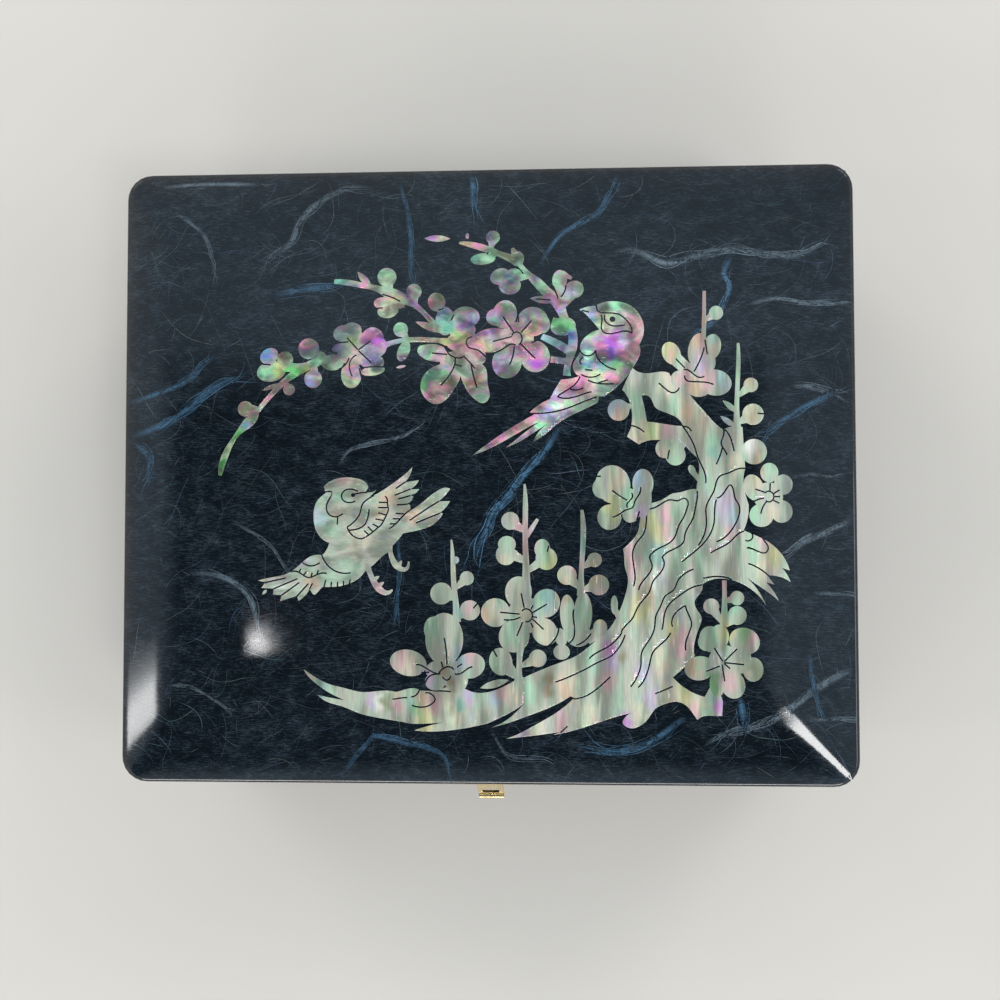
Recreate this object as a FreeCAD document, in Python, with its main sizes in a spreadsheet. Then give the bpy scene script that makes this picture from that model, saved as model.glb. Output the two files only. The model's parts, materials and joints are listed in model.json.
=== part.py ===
"""Keepsake box with a hinged lid: boards wrapped in lacquered mulberry paper, with cut shell laid on the lid.

Millimetres, +Z up. The origin is the middle of the felt that the box stands on, and the front faces -Y.
"""
import FreeCAD
import Part
import Sketcher

import math
import os
import re

from FreeCAD import Placement, Rotation, Vector

# Driving dimensions: alias, size, what it is
SIZES = [
    ("box_length", 200.0, "left to right over the lacquer"),
    ("box_width", 168.0, "front to back over the lacquer"),
    ("corner_radius", 7.0, "upright corners, over the lacquer"),
    ("skin", 0.6, "mulberry paper and lacquer"),
    ("board", 9.4, "wall boards and lid rails"),
    ("felt", 1.0, "felt under the base"),
    ("felt_inset", 2.0, "felt's edge in from the box's side"),
    ("base_thickness", 6.0, "bottom board"),
    ("body_height", 58.0, "rim of the box above the table"),
    ("parting", 0.4, "gap between rim and closed lid"),
    ("lid_side", 20.1, "upright side of the lid"),
    ("rail_height", 13.6, "lid rails, under the top panel"),
    ("crown_width", 35.0, "width of the lid's falling borders"),
    ("crown_drop", 3.5, "fall of the lid's top to its edge"),
    ("shell", 0.3, "mother-of-pearl"),
    ("kerf", 0.42, "width of a saw cut in the shell"),
    ("card", 1.2, "velvet-covered card linings"),
    ("lining_drop", 2.0, "lining's top edge under the rim"),
    ("divider", 3.0, "thickness of the partitions"),
    ("divider_height", 36.0, "partitions above the floor lining"),
    ("divider_left", 22.0, "long partition, left of the middle"),
    ("bed_height", 22.0, "foam under the ring rolls"),
    ("soft_gap", 0.3, "room round soft pieces"),
    ("mirror_glass", 2.0, "glass thickness"),
    ("mirror_card", 0.6, "card behind the glass"),
    ("frame_gap", 5.0, "mirror frame in from the lid rails"),
    ("frame_border", 10.0, "mirror frame, glass edge to outside"),
    ("frame_lap", 2.0, "mirror frame over the glass"),
    ("frame_lip", 1.5, "mirror frame under the glass"),
    ("hinge_length", 30.0, "each hinge"),
    ("hinge_middle", 55.0, "each hinge from the middle of the back"),
    ("hinge_depth", 4.0, "hinge axis in from the back"),
    ("hinge_leaf", 1.0, "leaf thickness"),
    ("leaf_width", 5.6, "leaf, axis to its front edge"),
    ("leaf_lift", 0.3, "leaf's face from the axis"),
    ("knuckle_radius", 2.0, "hinge barrel"),
    ("knuckle_gap", 0.3, "between knuckles, and round them"),
    ("pin_radius", 0.8, "hinge pin"),
    ("running_gap", 0.05, "between a pin and its bore"),
    ("bevel_angle", 50.5, "degrees, back bevels that stop the lid"),
    ("screw_radius", 0.6, "hinge screw shank"),
    ("screw_head", 1.3, "hinge screw head radius"),
    ("screw_length", 7.0, "hinge screw under its head"),
    ("screw_back", 4.0, "hinge screws in front of the axis"),
    ("clasp_width", 14.0, "clasp plates"),
    ("clasp_plate", 0.8, "clasp plate thickness"),
    ("clasp_height", 4.6, "clasp axis above the lid's lower edge"),
    ("clasp_stand", 1.6, "clasp axis in front of the lid"),
    ("clasp_knuckle", 1.2, "clasp barrel radius"),
    ("clasp_pin", 0.5, "clasp pin radius"),
    ("lid_plate_height", 9.0, "clasp plate on the lid, above its axis"),
    ("tongue_width", 7.4, "clasp tongue"),
    ("tongue_length", 15.0, "clasp tongue, axis to lip"),
    ("tongue_lip", 0.9, "curled lip radius"),
    ("tongue_open", 25.0, "degrees, tongue off the box at rest"),
    ("window_width", 4.8, "slot in the tongue"),
    ("window_top", 8.0, "slot's upper end under the axis"),
    ("window_end", 12.2, "slot's lower end under the axis"),
    ("catch_width", 3.8, "catch that the slot drops over"),
    ("catch_reach", 2.4, "catch in front of its plate"),
    ("catch_play", 1.1, "slot's room above and below the catch"),
    ("catch_plate_height", 8.0, "clasp plate on the box"),
    ("nail_radius", 0.5, "clasp nail shank"),
    ("nail_head", 0.9, "clasp nail head radius"),
    ("nail_length", 6.0, "clasp nail under its head"),
    ("nail_spread", 5.2, "clasp nails each side of the middle"),
]

RING_ROLLS = 6
OVERRUN = 3.0
EVERY_CORNER = ("front", "back")

# Places worked out from the driving dimensions
PLACES = {
    "half_length": "(box_length / 2)",
    "half_width": "(box_width / 2)",
    "outer_x": "(half_length - skin)",
    "outer_y": "(half_width - skin)",
    "inner_x": "(outer_x - board)",
    "inner_y": "(outer_y - board)",
    "lined_x": "(inner_x - card)",
    "lined_y": "(inner_y - card)",
    "floor": "(felt + base_thickness)",
    "floor_top": "(floor + card)",
    "lining_top": "(body_height - lining_drop)",
    "lid_bottom": "(body_height + parting)",
    "rail_top": "(lid_bottom + rail_height)",
    "lid_crest": "(lid_bottom + lid_side + crown_drop)",
    "crown_radius": "((crown_width ^ 2 + crown_drop ^ 2) / (2 * crown_drop))",
    "hinge_y": "(half_width - hinge_depth)",
    "hinge_z": "(body_height + parting / 2)",
    "knuckle": "((hinge_length - 2 * knuckle_gap) / 3)",
    "clearance": "(knuckle_radius + knuckle_gap)",
    "clasp_y": "(-half_width - clasp_stand)",
    "clasp_z": "(lid_bottom + clasp_height)",
    "plate_face": "(-half_width - clasp_plate)",
    "clasp_side": "((clasp_width - tongue_width) / 2 - knuckle_gap)",
    "catch_top": "(clasp_z - window_top - catch_play)",
    "catch_end": "(clasp_z - window_end + catch_play)",
    "frame_x": "(inner_x - frame_gap)",
    "frame_y": "(inner_y - frame_gap)",
    "mirror_length": "(2 * (frame_x - frame_border))",
    "mirror_width": "(2 * (frame_y - frame_border))",
    "frame_bottom": "(rail_top - card - mirror_card - mirror_glass - frame_lip)",
    "roll_left": "(-divider_left + divider + soft_gap)",
    "roll_pitch": "((lined_y - divider / 2) / %d)" % RING_ROLLS,
    "roll_radius": "(roll_pitch / 2 - soft_gap / 2)",
    "roll_z": "(floor_top + bed_height + soft_gap + roll_radius)",
}

# The shell picture is drawn in millimetres for a lid of this size, from the lid's middle, and fits other lids
PICTURE_LENGTH = 200.0
PICTURE_WIDTH = 168.0
SMALLEST_FLAKE = 0.25

TURNS = {
    "x": Rotation(Vector(0, 1, 0), 90),
    "y": Rotation(Vector(1, 0, 0), -90),
    "z": Rotation(),
}

doc = FreeCAD.newDocument("lacquer_box")
sheet = doc.addObject("Spreadsheet::Sheet", "Sizes")
for row, (alias, number, meaning) in enumerate(SIZES, start=1):
    sheet.set("A%d" % row, meaning)
    sheet.set("B%d" % row, str(number))
    sheet.setAlias("B%d" % row, alias)
doc.recompute()
ALIASES = {alias for alias, _, _ in SIZES}
nodes = []


def expression(text):
    """Writes places and aliases out as an expression on the sheet."""
    def word(match):
        name = match.group()
        if name in PLACES:
            return expression(PLACES[name])
        return "Sizes." + name if name in ALIASES else name
    return re.sub(r"[a-z_]+", word, text)


def value(text):
    """The number that an expression gives with the sheet's sizes."""
    return float(sheet.evalExpression(expression(text)))


def bind(thing, prop, text):
    thing.setExpression(prop, expression(text))


def keep(thing, name):
    """Marks an object as a sub-part of the box under its own name."""
    thing.Label = name
    nodes.append(thing)
    return thing


def block(name, x, y, z):
    """A box between pairs of coordinates."""
    box = doc.addObject("Part::Box", name)
    for prop, axis, (low, high) in zip(("Length", "Width", "Height"), "xyz", (x, y, z)):
        bind(box, prop, "(%s) - (%s)" % (high, low))
        bind(box, "Placement.Base." + axis, low)
    return box


def rod(name, radius, at, length, along):
    """A cylinder that starts at a point and runs along an axis."""
    cylinder = doc.addObject("Part::Cylinder", name)
    cylinder.Placement = Placement(Vector(), TURNS[along])
    bind(cylinder, "Radius", radius)
    bind(cylinder, "Height", length)
    for axis, text in zip("xyz", at):
        bind(cylinder, "Placement.Base." + axis, text)
    return cylinder


def taper(name, low_radius, high_radius, at, height):
    """An upright cone between two radii."""
    cone = doc.addObject("Part::Cone", name)
    bind(cone, "Radius1", low_radius)
    bind(cone, "Radius2", high_radius)
    bind(cone, "Height", height)
    for axis, text in zip("xyz", at):
        bind(cone, "Placement.Base." + axis, text)
    return cone


def fuse(name, shapes):
    joined = doc.addObject("Part::MultiFuse", name)
    joined.Shapes = shapes
    return joined


def cut(name, base, tools):
    result = doc.addObject("Part::Cut", name)
    result.Base = base
    result.Tool = tools[0] if len(tools) == 1 else fuse(name + "_tools", tools)
    return result


def group(name, shapes):
    """Like pieces that share one sub-part."""
    together = doc.addObject("Part::Compound", name)
    together.Links = shapes
    return together


def origin_plane(body, role):
    return next(item for item in body.Origin.OriginFeatures if item.Role == role)


def new_sketch(body, name, plane, offset="0"):
    sketch = body.newObject("Sketcher::SketchObject", name)
    sketch.AttachmentSupport = [(origin_plane(body, plane), "")]
    sketch.MapMode = "FlatFace"
    bind(sketch, "AttachmentOffset.Base.z", offset)
    return sketch


def pin_point(sketch, geometry, end, corner):
    """Holds one end of a sketch line at a pair of coordinates."""
    for kind, text in zip(("DistanceX", "DistanceY"), corner):
        index = sketch.addConstraint(Sketcher.Constraint(kind, -1, 1, geometry, end, value(text)))
        bind(sketch, "Constraints[%d]" % index, text)


def draw_loop(sketch, corners, arcs=None):
    """A closed loop of straight sides; arcs gives the radius of each side that bulges to the left instead."""
    arcs = arcs or {}
    points = [Vector(value(x), value(y), 0) for x, y in corners]
    first = sketch.GeometryCount
    for side, start in enumerate(points):
        finish = points[(side + 1) % len(points)]
        if side in arcs:
            chord = finish - start
            radius = value(arcs[side])
            sag = radius - math.sqrt(radius ** 2 - chord.Length ** 2 / 4)
            bulge = Vector(-chord.y, chord.x, 0).normalize() * sag
            sketch.addGeometry(Part.Arc(start, (start + finish) / 2 + bulge, finish))
        else:
            sketch.addGeometry(Part.LineSegment(start, finish))

    def end_at(geometry, point):
        near = sketch.getPoint(geometry, 1).distanceToPoint(point)
        far = sketch.getPoint(geometry, 2).distanceToPoint(point)
        return 1 if near < far else 2

    for side, corner in enumerate(corners):
        here = first + side
        before = first + (side - 1) % len(corners)
        ends = (end_at(here, points[side]), end_at(before, points[side]))
        sketch.addConstraint(Sketcher.Constraint("Coincident", here, ends[0], before, ends[1]))
        pin_point(sketch, here, ends[0], corner)
    for side, radius in arcs.items():
        index = sketch.addConstraint(Sketcher.Constraint("Radius", first + side, value(radius)))
        bind(sketch, "Constraints[%d]" % index, radius)


def draw_circle(sketch, centre, radius):
    middle = Vector(value(centre[0]), value(centre[1]), 0)
    index = sketch.addGeometry(Part.Circle(middle, Vector(0, 0, 1), value(radius)))
    pin_point(sketch, index, 3, centre)
    limit = sketch.addConstraint(Sketcher.Constraint("Radius", index, value(radius)))
    bind(sketch, "Constraints[%d]" % limit, radius)


def rectangle(x, y):
    return [(x[0], y[0]), (x[1], y[0]), (x[1], y[1]), (x[0], y[1])]


def pad(body, name, sketch, length, symmetric=False):
    feature = body.newObject("PartDesign::Pad", name)
    feature.Profile = sketch
    if symmetric:
        feature.SideType = "Symmetric"
    bind(feature, "Length", length)
    return feature


def pocket_through(body, name, sketch):
    feature = body.newObject("PartDesign::Pocket", name)
    feature.Profile = sketch
    feature.Type = "ThroughAll"
    feature.SideType = "Symmetric"
    return feature


def slab(name, x, y, z, radius, corners=EVERY_CORNER):
    """An upright block whose front or back corners are rounded."""
    body = doc.addObject("PartDesign::Body", name)
    sketch = new_sketch(body, name + "_outline", "XY_Plane", z[0])
    draw_loop(sketch, rectangle(x, y))
    solid = pad(body, name + "_pad", sketch, "(%s) - (%s)" % (z[1], z[0]))
    doc.recompute()
    middle = (value(y[0]) + value(y[1])) / 2
    edges = []
    for number, edge in enumerate(solid.Shape.Edges, start=1):
        run = edge.Vertexes[0].Point - edge.Vertexes[1].Point
        end = "front" if edge.CenterOfMass.y < middle else "back"
        if abs(run.x) + abs(run.y) < 1e-6 and end in corners:
            edges.append("Edge%d" % number)
    rounding = body.newObject("PartDesign::Fillet", name + "_corners")
    rounding.Base = (solid, edges)
    bind(rounding, "Radius", radius)
    return body


def prism(name, plane, corners, start, length):
    """A straight-sided outline on an origin plane, pushed out along the plane's normal."""
    body = doc.addObject("PartDesign::Body", name)
    sketch = new_sketch(body, name + "_outline", plane, start)
    draw_loop(sketch, corners)
    pad(body, name + "_pad", sketch, length)
    return body


def crowned_block(name, inset, bottom, rise):
    """The lid's outer form, set in by an inset and with its crown raised: flat on top, falling to every edge."""
    block_body = slab(name, ("-half_length + %s" % inset, "half_length - %s" % inset),
                      ("-half_width + %s" % inset, "half_width - %s" % inset),
                      (bottom, "lid_crest + %s" % OVERRUN), "corner_radius - %s" % inset)
    crest = "lid_crest + %s" % rise
    radius = "crown_radius + %s" % rise
    reach = "(crown_width + %s)" % OVERRUN
    foot = "%s - (%s) + sqrt((%s) ^ 2 - %s ^ 2)" % (crest, radius, radius, reach)
    sky = "lid_crest + %s" % (2 * OVERRUN)
    for plane, half in (("XZ_Plane", "half_length"), ("YZ_Plane", "half_width")):
        flat = "(%s - crown_width)" % half
        end = "(%s + %s)" % (half, OVERRUN)
        sketch = new_sketch(block_body, name + "_crown_" + plane[:2], plane)
        draw_loop(sketch, [("-" + end, foot), ("-" + flat, crest), (flat, crest), (end, foot), (end, sky),
                           ("-" + end, sky)], {0: radius, 2: radius})
        doc.recompute()
        before = block_body.Shape.Volume
        pocket_through(block_body, name + "_fall_" + plane[:2], sketch)
        doc.recompute()
        if block_body.Shape.Volume >= before:
            raise RuntimeError(name + ": the crown was not cut")
    return block_body


def build_base():
    """Felt and bottom board."""
    edge_x = "half_length - felt_inset"
    edge_y = "half_width - felt_inset"
    keep(slab("base_felt", ("-(%s)" % edge_x, edge_x), ("-(%s)" % edge_y, edge_y), ("0", "felt"),
              "corner_radius - felt_inset"), "base_felt")
    keep(block("base_panel", ("-inner_x", "inner_x"), ("-inner_y", "inner_y"), ("felt", "floor")),
         "base_panel")


def frame_boards(prefix, suffix, z):
    """Front and back boards with rounded outer corners, and two boards between them."""
    boards = {}
    x = ("-outer_x", "outer_x")
    rounding = "corner_radius - skin"
    boards["front"] = slab(prefix + "front" + suffix, x, ("-outer_y", "-inner_y"), z, rounding, ("front",))
    boards["back"] = slab(prefix + "back" + suffix, x, ("inner_y", "outer_y"), z, rounding, ("back",))
    side = ("-inner_y", "inner_y")
    boards["left"] = block(prefix + "left" + suffix, ("-outer_x", "-inner_x"), side, z)
    boards["right"] = block(prefix + "right" + suffix, ("inner_x", "outer_x"), side, z)
    return boards


def stop_bevel(name, sign):
    """Wedge along the back edge: sign -1 below the hinge axis, +1 above it."""
    reach = "hinge_depth + %s" % OVERRUN
    fall = "(%s) * tan(bevel_angle * 1 deg)" % reach
    tip = ("hinge_y + " + reach, "hinge_z + (%d) * %s" % (sign, fall))
    level = ("hinge_y + " + reach, "hinge_z")
    return prism(name, "YZ_Plane", [("hinge_y", "hinge_z"), tip, level], "-half_length - %s" % OVERRUN,
                 "box_length + 2 * %s" % OVERRUN)


def hinge_middles():
    return (("left", "-hinge_middle"), ("right", "hinge_middle"))


def screw_places(middle):
    return ["%s + (%d) * hinge_length / 3" % (middle, step) for step in (-1, 0, 1)]


def hinge_seat(name, side):
    """Room in a back board for both hinges: leaf mortises, barrel grooves and screw holes."""
    sign = -1 if side == "body" else 1
    tools = []
    for which, middle in hinge_middles():
        tag = "%s_%s" % (name, which)
        half = "hinge_length / 2"
        floor_z = "hinge_z + (%d) * (leaf_lift + hinge_leaf)" % sign
        heights = (floor_z, "hinge_z") if sign < 0 else ("hinge_z", floor_z)
        tools.append(block(tag + "_mortise", ("%s - %s" % (middle, half), "%s + %s" % (middle, half)),
                           ("hinge_y - leaf_width", "hinge_y"), heights))
        tools.append(rod(tag + "_groove", "clearance",
                         ("%s - %s - knuckle_gap" % (middle, half), "hinge_y", "hinge_z"),
                         "hinge_length + 2 * knuckle_gap", "x"))
        for number, place in enumerate(screw_places(middle)):
            start = "hinge_z - leaf_lift - screw_length" if sign < 0 else "hinge_z"
            tools.append(rod("%s_pilot_%d" % (tag, number), "screw_radius + running_gap",
                             (place, "hinge_y - screw_back", start), "leaf_lift + screw_length", "z"))
    return tools


def hinge_leaf_piece(name, middle, side):
    """One leaf with its knuckles: two on the box's leaf, one on the lid's."""
    sign = -1 if side == "body" else 1
    half = "hinge_length / 2"
    near = "hinge_z + (%d) * leaf_lift" % sign
    far = "hinge_z + (%d) * (leaf_lift + hinge_leaf)" % sign
    heights = (far, near) if sign < 0 else (near, far)
    plate = block(name + "_plate", ("%s - %s" % (middle, half), "%s + %s" % (middle, half)),
                  ("hinge_y - leaf_width", "hinge_y"), heights)
    step = "(knuckle + knuckle_gap)"
    start = "(%s - %s)" % (middle, half)
    own = (0, 2) if side == "body" else (1,)
    knuckles = []
    clearances = []
    for number in range(3):
        place = "%s + %d * %s" % (start, number, step)
        if number in own:
            knuckles.append(rod("%s_knuckle_%d" % (name, number), "knuckle_radius",
                                (place, "hinge_y", "hinge_z"),
                                "knuckle", "x"))
        else:
            clearances.append(rod("%s_room_%d" % (name, number), "clearance",
                                  (place + " - knuckle_gap", "hinge_y",
                                   "hinge_z"), "knuckle + 2 * knuckle_gap", "x"))
    plate_clear = cut(name + "_clear", plate, clearances)
    bore = rod(name + "_bore", "pin_radius + running_gap", (start + " - 1", "hinge_y", "hinge_z"),
               "hinge_length + 2",
               "x")
    holes = [bore]
    for number, place in enumerate(screw_places(middle)):
        at = (place, "hinge_y - screw_back", far if sign < 0 else near)
        wide = "screw_head + running_gap"
        slim = "screw_radius + running_gap"
        ends = (slim, wide) if sign < 0 else (wide, slim)
        holes.append(taper("%s_sink_%d" % (name, number), ends[0], ends[1], at, "hinge_leaf"))
    return keep(cut(name, fuse(name + "_brass", [plate_clear] + knuckles), holes), name)


def hinge_screws(name, side):
    """Countersunk screws of both hinges on one side."""
    sign = -1 if side == "body" else 1
    screws = []
    for which, middle in hinge_middles():
        for number, place in enumerate(screw_places(middle)):
            tag = "%s_%s_%d" % (name, which, number)
            near = "hinge_z + (%d) * leaf_lift" % sign
            far = "hinge_z + (%d) * (leaf_lift + hinge_leaf)" % sign
            y = "hinge_y - screw_back"
            ends = ("screw_radius", "screw_head") if sign < 0 else ("screw_head", "screw_radius")
            head = taper(tag + "_head", ends[0], ends[1], (place, y, far if sign < 0 else near),
                         "hinge_leaf")
            start = "hinge_z - leaf_lift - screw_length" if sign < 0 else far
            shank = rod(tag + "_shank", "screw_radius", (place, y, start), "screw_length - hinge_leaf", "z")
            screws.append(fuse(tag, [head, shank]))
    return keep(group(name, screws), name)


def build_hinges():
    for which, middle in hinge_middles():
        hinge_leaf_piece("hinge_%s_body_leaf" % which, middle, "body")
        hinge_leaf_piece("hinge_%s_lid_leaf" % which, middle, "lid")
        name = "hinge_%s_pin" % which
        keep(rod(name, "pin_radius", ("%s - hinge_length / 2" % middle, "hinge_y", "hinge_z"),
                 "hinge_length", "x"),
             name)
    hinge_screws("hinge_screws_body", "body")
    hinge_screws("hinge_screws_lid", "lid")


def nail_places(height):
    return [("-nail_spread", "plate_face", height), ("nail_spread", "plate_face", height)]


def nail_holes(name, height):
    return [rod("%s_%d" % (name, number), "nail_radius + running_gap", place, "nail_length + running_gap",
                "y")
            for number, place in enumerate(nail_places(height))]


def clasp_nails(name, height):
    nails = []
    for number, (x, y, z) in enumerate(nail_places(height)):
        tag = "%s_%d" % (name, number)
        head = rod(tag + "_head", "nail_head", (x, y + " - nail_radius", z), "nail_radius", "y")
        shank = rod(tag + "_shank", "nail_radius", (x, y, z), "nail_length", "y")
        nails.append(fuse(tag, [head, shank]))
    return keep(group(name, nails), name)


LID_NAIL_Z = "clasp_z + lid_plate_height * 2 / 3"
BODY_NAIL_Z = "(catch_top + catch_end) / 2"


def build_clasp():
    """Plate and knuckles on the lid, swinging tongue, pin, and the catch on the box."""
    half = "clasp_width / 2"
    plate_y = ("plate_face", "-half_width")
    plate = block("lid_plate_sheet", ("-" + half, half), plate_y, ("clasp_z", "clasp_z + lid_plate_height"))
    knuckles = [rod("lid_plate_knuckle_%d" % number, "clasp_knuckle", (start, "clasp_y", "clasp_z"),
                    "clasp_side", "x")
                for number, start in enumerate(("-" + half, half + " - clasp_side"))]
    webs = [block("lid_plate_web_%d" % number, x, ("clasp_y", "plate_face"),
                  ("clasp_z", "clasp_z + clasp_knuckle"))
            for number, x in enumerate((("-" + half, "-%s + clasp_side" % half),
                                        (half + " - clasp_side", half)))]
    room = rod("lid_plate_room", "clasp_knuckle + knuckle_gap",
               ("-tongue_width / 2 - knuckle_gap", "clasp_y", "clasp_z"),
               "tongue_width + 2 * knuckle_gap", "x")
    bore = rod("lid_plate_bore", "clasp_pin + running_gap", ("-%s - 1" % half, "clasp_y", "clasp_z"),
               "clasp_width + 2",
               "x")
    brass = fuse("lid_plate_brass", [plate] + knuckles + webs)
    keep(cut("clasp_lid_plate", brass, [room, bore] + nail_holes("lid_plate_nail_hole", LID_NAIL_Z)),
         "clasp_lid_plate")
    keep(rod("clasp_hinge_pin", "clasp_pin", ("-" + half, "clasp_y", "clasp_z"), "clasp_width", "x"),
         "clasp_hinge_pin")
    clasp_nails("clasp_nails_lid", LID_NAIL_Z)

    sheet_z = ("%s - catch_plate_height / 2" % BODY_NAIL_Z, "%s + catch_plate_height / 2" % BODY_NAIL_Z)
    catch_sheet = block("catch_sheet", ("-" + half, half), plate_y, sheet_z)
    catch = block("catch_stud", ("-catch_width / 2", "catch_width / 2"),
                  ("plate_face - catch_reach", "plate_face"),
                  ("catch_end", "catch_top"))
    keep(cut("clasp_catch_plate", fuse("catch_brass", [catch_sheet, catch]),
             nail_holes("catch_nail_hole", BODY_NAIL_Z)), "clasp_catch_plate")
    clasp_nails("clasp_nails_body", BODY_NAIL_Z)

    tongue = doc.addObject("PartDesign::Body", "clasp_tongue")
    strip = new_sketch(tongue, "tongue_strip", "XZ_Plane")
    draw_loop(strip, rectangle(("-tongue_width / 2", "tongue_width / 2"), ("-tongue_length", "0")))
    draw_loop(strip, rectangle(("-window_width / 2", "window_width / 2"), ("-window_end", "-window_top")))
    pad(tongue, "tongue_sheet", strip, "clasp_plate", symmetric=True)
    barrel = ("tongue_barrel", ("0", "0"), "clasp_knuckle")
    curl = ("tongue_curl", ("-tongue_lip / 2", "-tongue_length"), "tongue_lip")
    for name, centre, radius in (barrel, curl):
        ring = new_sketch(tongue, name + "_ring", "YZ_Plane")
        draw_circle(ring, centre, radius)
        pad(tongue, name, ring, "tongue_width", symmetric=True)
    bore_ring = new_sketch(tongue, "tongue_bore_ring", "YZ_Plane")
    draw_circle(bore_ring, ("0", "0"), "clasp_pin + running_gap")
    doc.recompute()
    pocket_through(tongue, "tongue_bore", bore_ring)
    tongue.Placement = Placement(Vector(), Rotation(Vector(1, 0, 0), -value("tongue_open")))
    bind(tongue, "Placement.Base.y", "clasp_y")
    bind(tongue, "Placement.Base.z", "clasp_z")
    keep(tongue, "clasp_tongue")


def build_body():
    """Four walls and the skin round them."""
    upright = ("felt", "body_height")
    walls = frame_boards("", "_board", upright)
    bevel = stop_bevel("body_bevel", -1)
    keep(cut("back_wall", walls["back"], [bevel] + hinge_seat("body_seat", "body")), "back_wall")
    keep(cut("front_wall", walls["front"], nail_holes("front_wall_hole", BODY_NAIL_Z)), "front_wall")
    keep(walls["left"], "left_wall")
    keep(walls["right"], "right_wall")
    wrap = slab("body_wrap", ("-half_length", "half_length"), ("-half_width", "half_width"), upright,
                "corner_radius")
    core = slab("body_core", ("-outer_x", "outer_x"), ("-outer_y", "outer_y"), ("0", "body_height + 1"),
                "corner_radius - skin")
    skin_bevel = stop_bevel("body_skin_bevel", -1)
    holes = nail_holes("body_skin_hole", BODY_NAIL_Z)
    keep(cut("body_skin", wrap, [core, skin_bevel] + holes), "body_skin")


def build_lid():
    """Four rails, the crowned panel and the skin over them."""
    rails = frame_boards("lid_", "_board", ("lid_bottom", "rail_top"))
    bevel = stop_bevel("lid_bevel", 1)
    keep(cut("lid_back_rail", rails["back"], [bevel] + hinge_seat("lid_seat", "lid")), "lid_back_rail")
    keep(cut("lid_front_rail", rails["front"], nail_holes("lid_front_hole", LID_NAIL_Z)), "lid_front_rail")
    keep(rails["left"], "lid_left_rail")
    keep(rails["right"], "lid_right_rail")
    keep(crowned_block("lid_top_panel", "skin", "rail_top", "-skin"), "lid_top_panel")
    wrap = crowned_block("lid_wrap", "0", "lid_bottom", "0")
    core = crowned_block("lid_core", "skin", "lid_bottom - 1", "-skin")
    skin_bevel = stop_bevel("lid_skin_bevel", 1)
    holes = nail_holes("lid_skin_hole", LID_NAIL_Z)
    keep(cut("lid_skin", wrap, [core, skin_bevel] + holes), "lid_skin")
    return wrap


def build_lining():
    """Velvet-covered cards, partitions, and the foam bed with its ring rolls."""
    keep(block("floor_lining", ("-inner_x", "inner_x"), ("-inner_y", "inner_y"), ("floor", "floor_top")),
         "floor_lining")
    upright = ("floor_top", "lining_top")
    across = ("-inner_x", "inner_x")
    between = ("-lined_y", "lined_y")
    keep(block("front_lining", across, ("-inner_y", "-lined_y"), upright), "front_lining")
    keep(block("back_lining", across, ("lined_y", "inner_y"), upright), "back_lining")
    keep(block("left_lining", ("-inner_x", "-lined_x"), between, upright), "left_lining")
    keep(block("right_lining", ("lined_x", "inner_x"), between, upright), "right_lining")
    partition = ("floor_top", "floor_top + divider_height")
    keep(block("long_divider", ("-divider_left", "-divider_left + divider"), between, partition),
         "long_divider")
    keep(block("cross_divider", ("-divider_left + divider", "lined_x"), ("-divider / 2", "divider / 2"),
               partition),
         "cross_divider")
    keep(block("ring_bed", ("roll_left", "lined_x - soft_gap"), ("-lined_y", "-divider / 2"),
               ("floor_top", "floor_top + bed_height")), "ring_bed")
    for number in range(RING_ROLLS):
        name = "ring_roll_%d" % (number + 1)
        y = "-lined_y + (%d + 0.5) * roll_pitch" % number
        keep(rod(name, "roll_radius", ("roll_left", y, "roll_z"), "lined_x - soft_gap - roll_left", "x"),
             name)


def build_mirror():
    """Lining of the lid, and the mirror in its frame."""
    under = ("rail_top - card", "rail_top")
    keep(block("lid_lining", ("-inner_x", "inner_x"), ("-inner_y", "inner_y"), under), "lid_lining")
    glass_x = ("-mirror_length / 2", "mirror_length / 2")
    glass_y = ("-mirror_width / 2", "mirror_width / 2")
    glass_top = "rail_top - card - mirror_card"
    keep(block("mirror_backing", glass_x, glass_y, (glass_top, "rail_top - card")), "mirror_backing")
    keep(block("mirror", glass_x, glass_y, (glass_top + " - mirror_glass", glass_top)), "mirror")
    whole = block("frame_whole", ("-frame_x", "frame_x"), ("-frame_y", "frame_y"),
                  ("frame_bottom", "rail_top - card"))
    rebate = block("frame_rebate", glass_x, glass_y, ("frame_bottom + frame_lip", "rail_top"))
    sight_x = "(mirror_length / 2 - frame_lap)"
    sight_y = "(mirror_width / 2 - frame_lap)"
    sight = block("frame_sight", ("-" + sight_x, sight_x), ("-" + sight_y, sight_y),
                  ("frame_bottom - 1", "rail_top"))
    keep(cut("mirror_frame", whole, [rebate, sight]), "mirror_frame")


SCALE = min(value("box_length") / PICTURE_LENGTH, value("box_width") / PICTURE_WIDTH)


def at(x, y):
    """A place in the shell picture."""
    return Vector(x, y, 0) * SCALE


def smooth(points):
    """A straight edge through two points, or a smooth one through more."""
    if len(points) == 2:
        return Part.LineSegment(points[0], points[1]).toShape()
    curve = Part.BSplineCurve()
    curve.interpolate(points)
    return curve.toShape()


def outline(*runs):
    """A shape whose edge is smooth along each run and has a corner where two runs meet."""
    return Part.Face(Part.Wire([smooth([at(x, y) for x, y in run]) for run in runs]))


def ring_outline(*points):
    """A shape whose edge is smooth all the way round."""
    curve = Part.BSplineCurve()
    curve.interpolate([at(x, y) for x, y in points], PeriodicFlag=True)
    return Part.Face(Part.Wire([curve.toShape()]))


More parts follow.
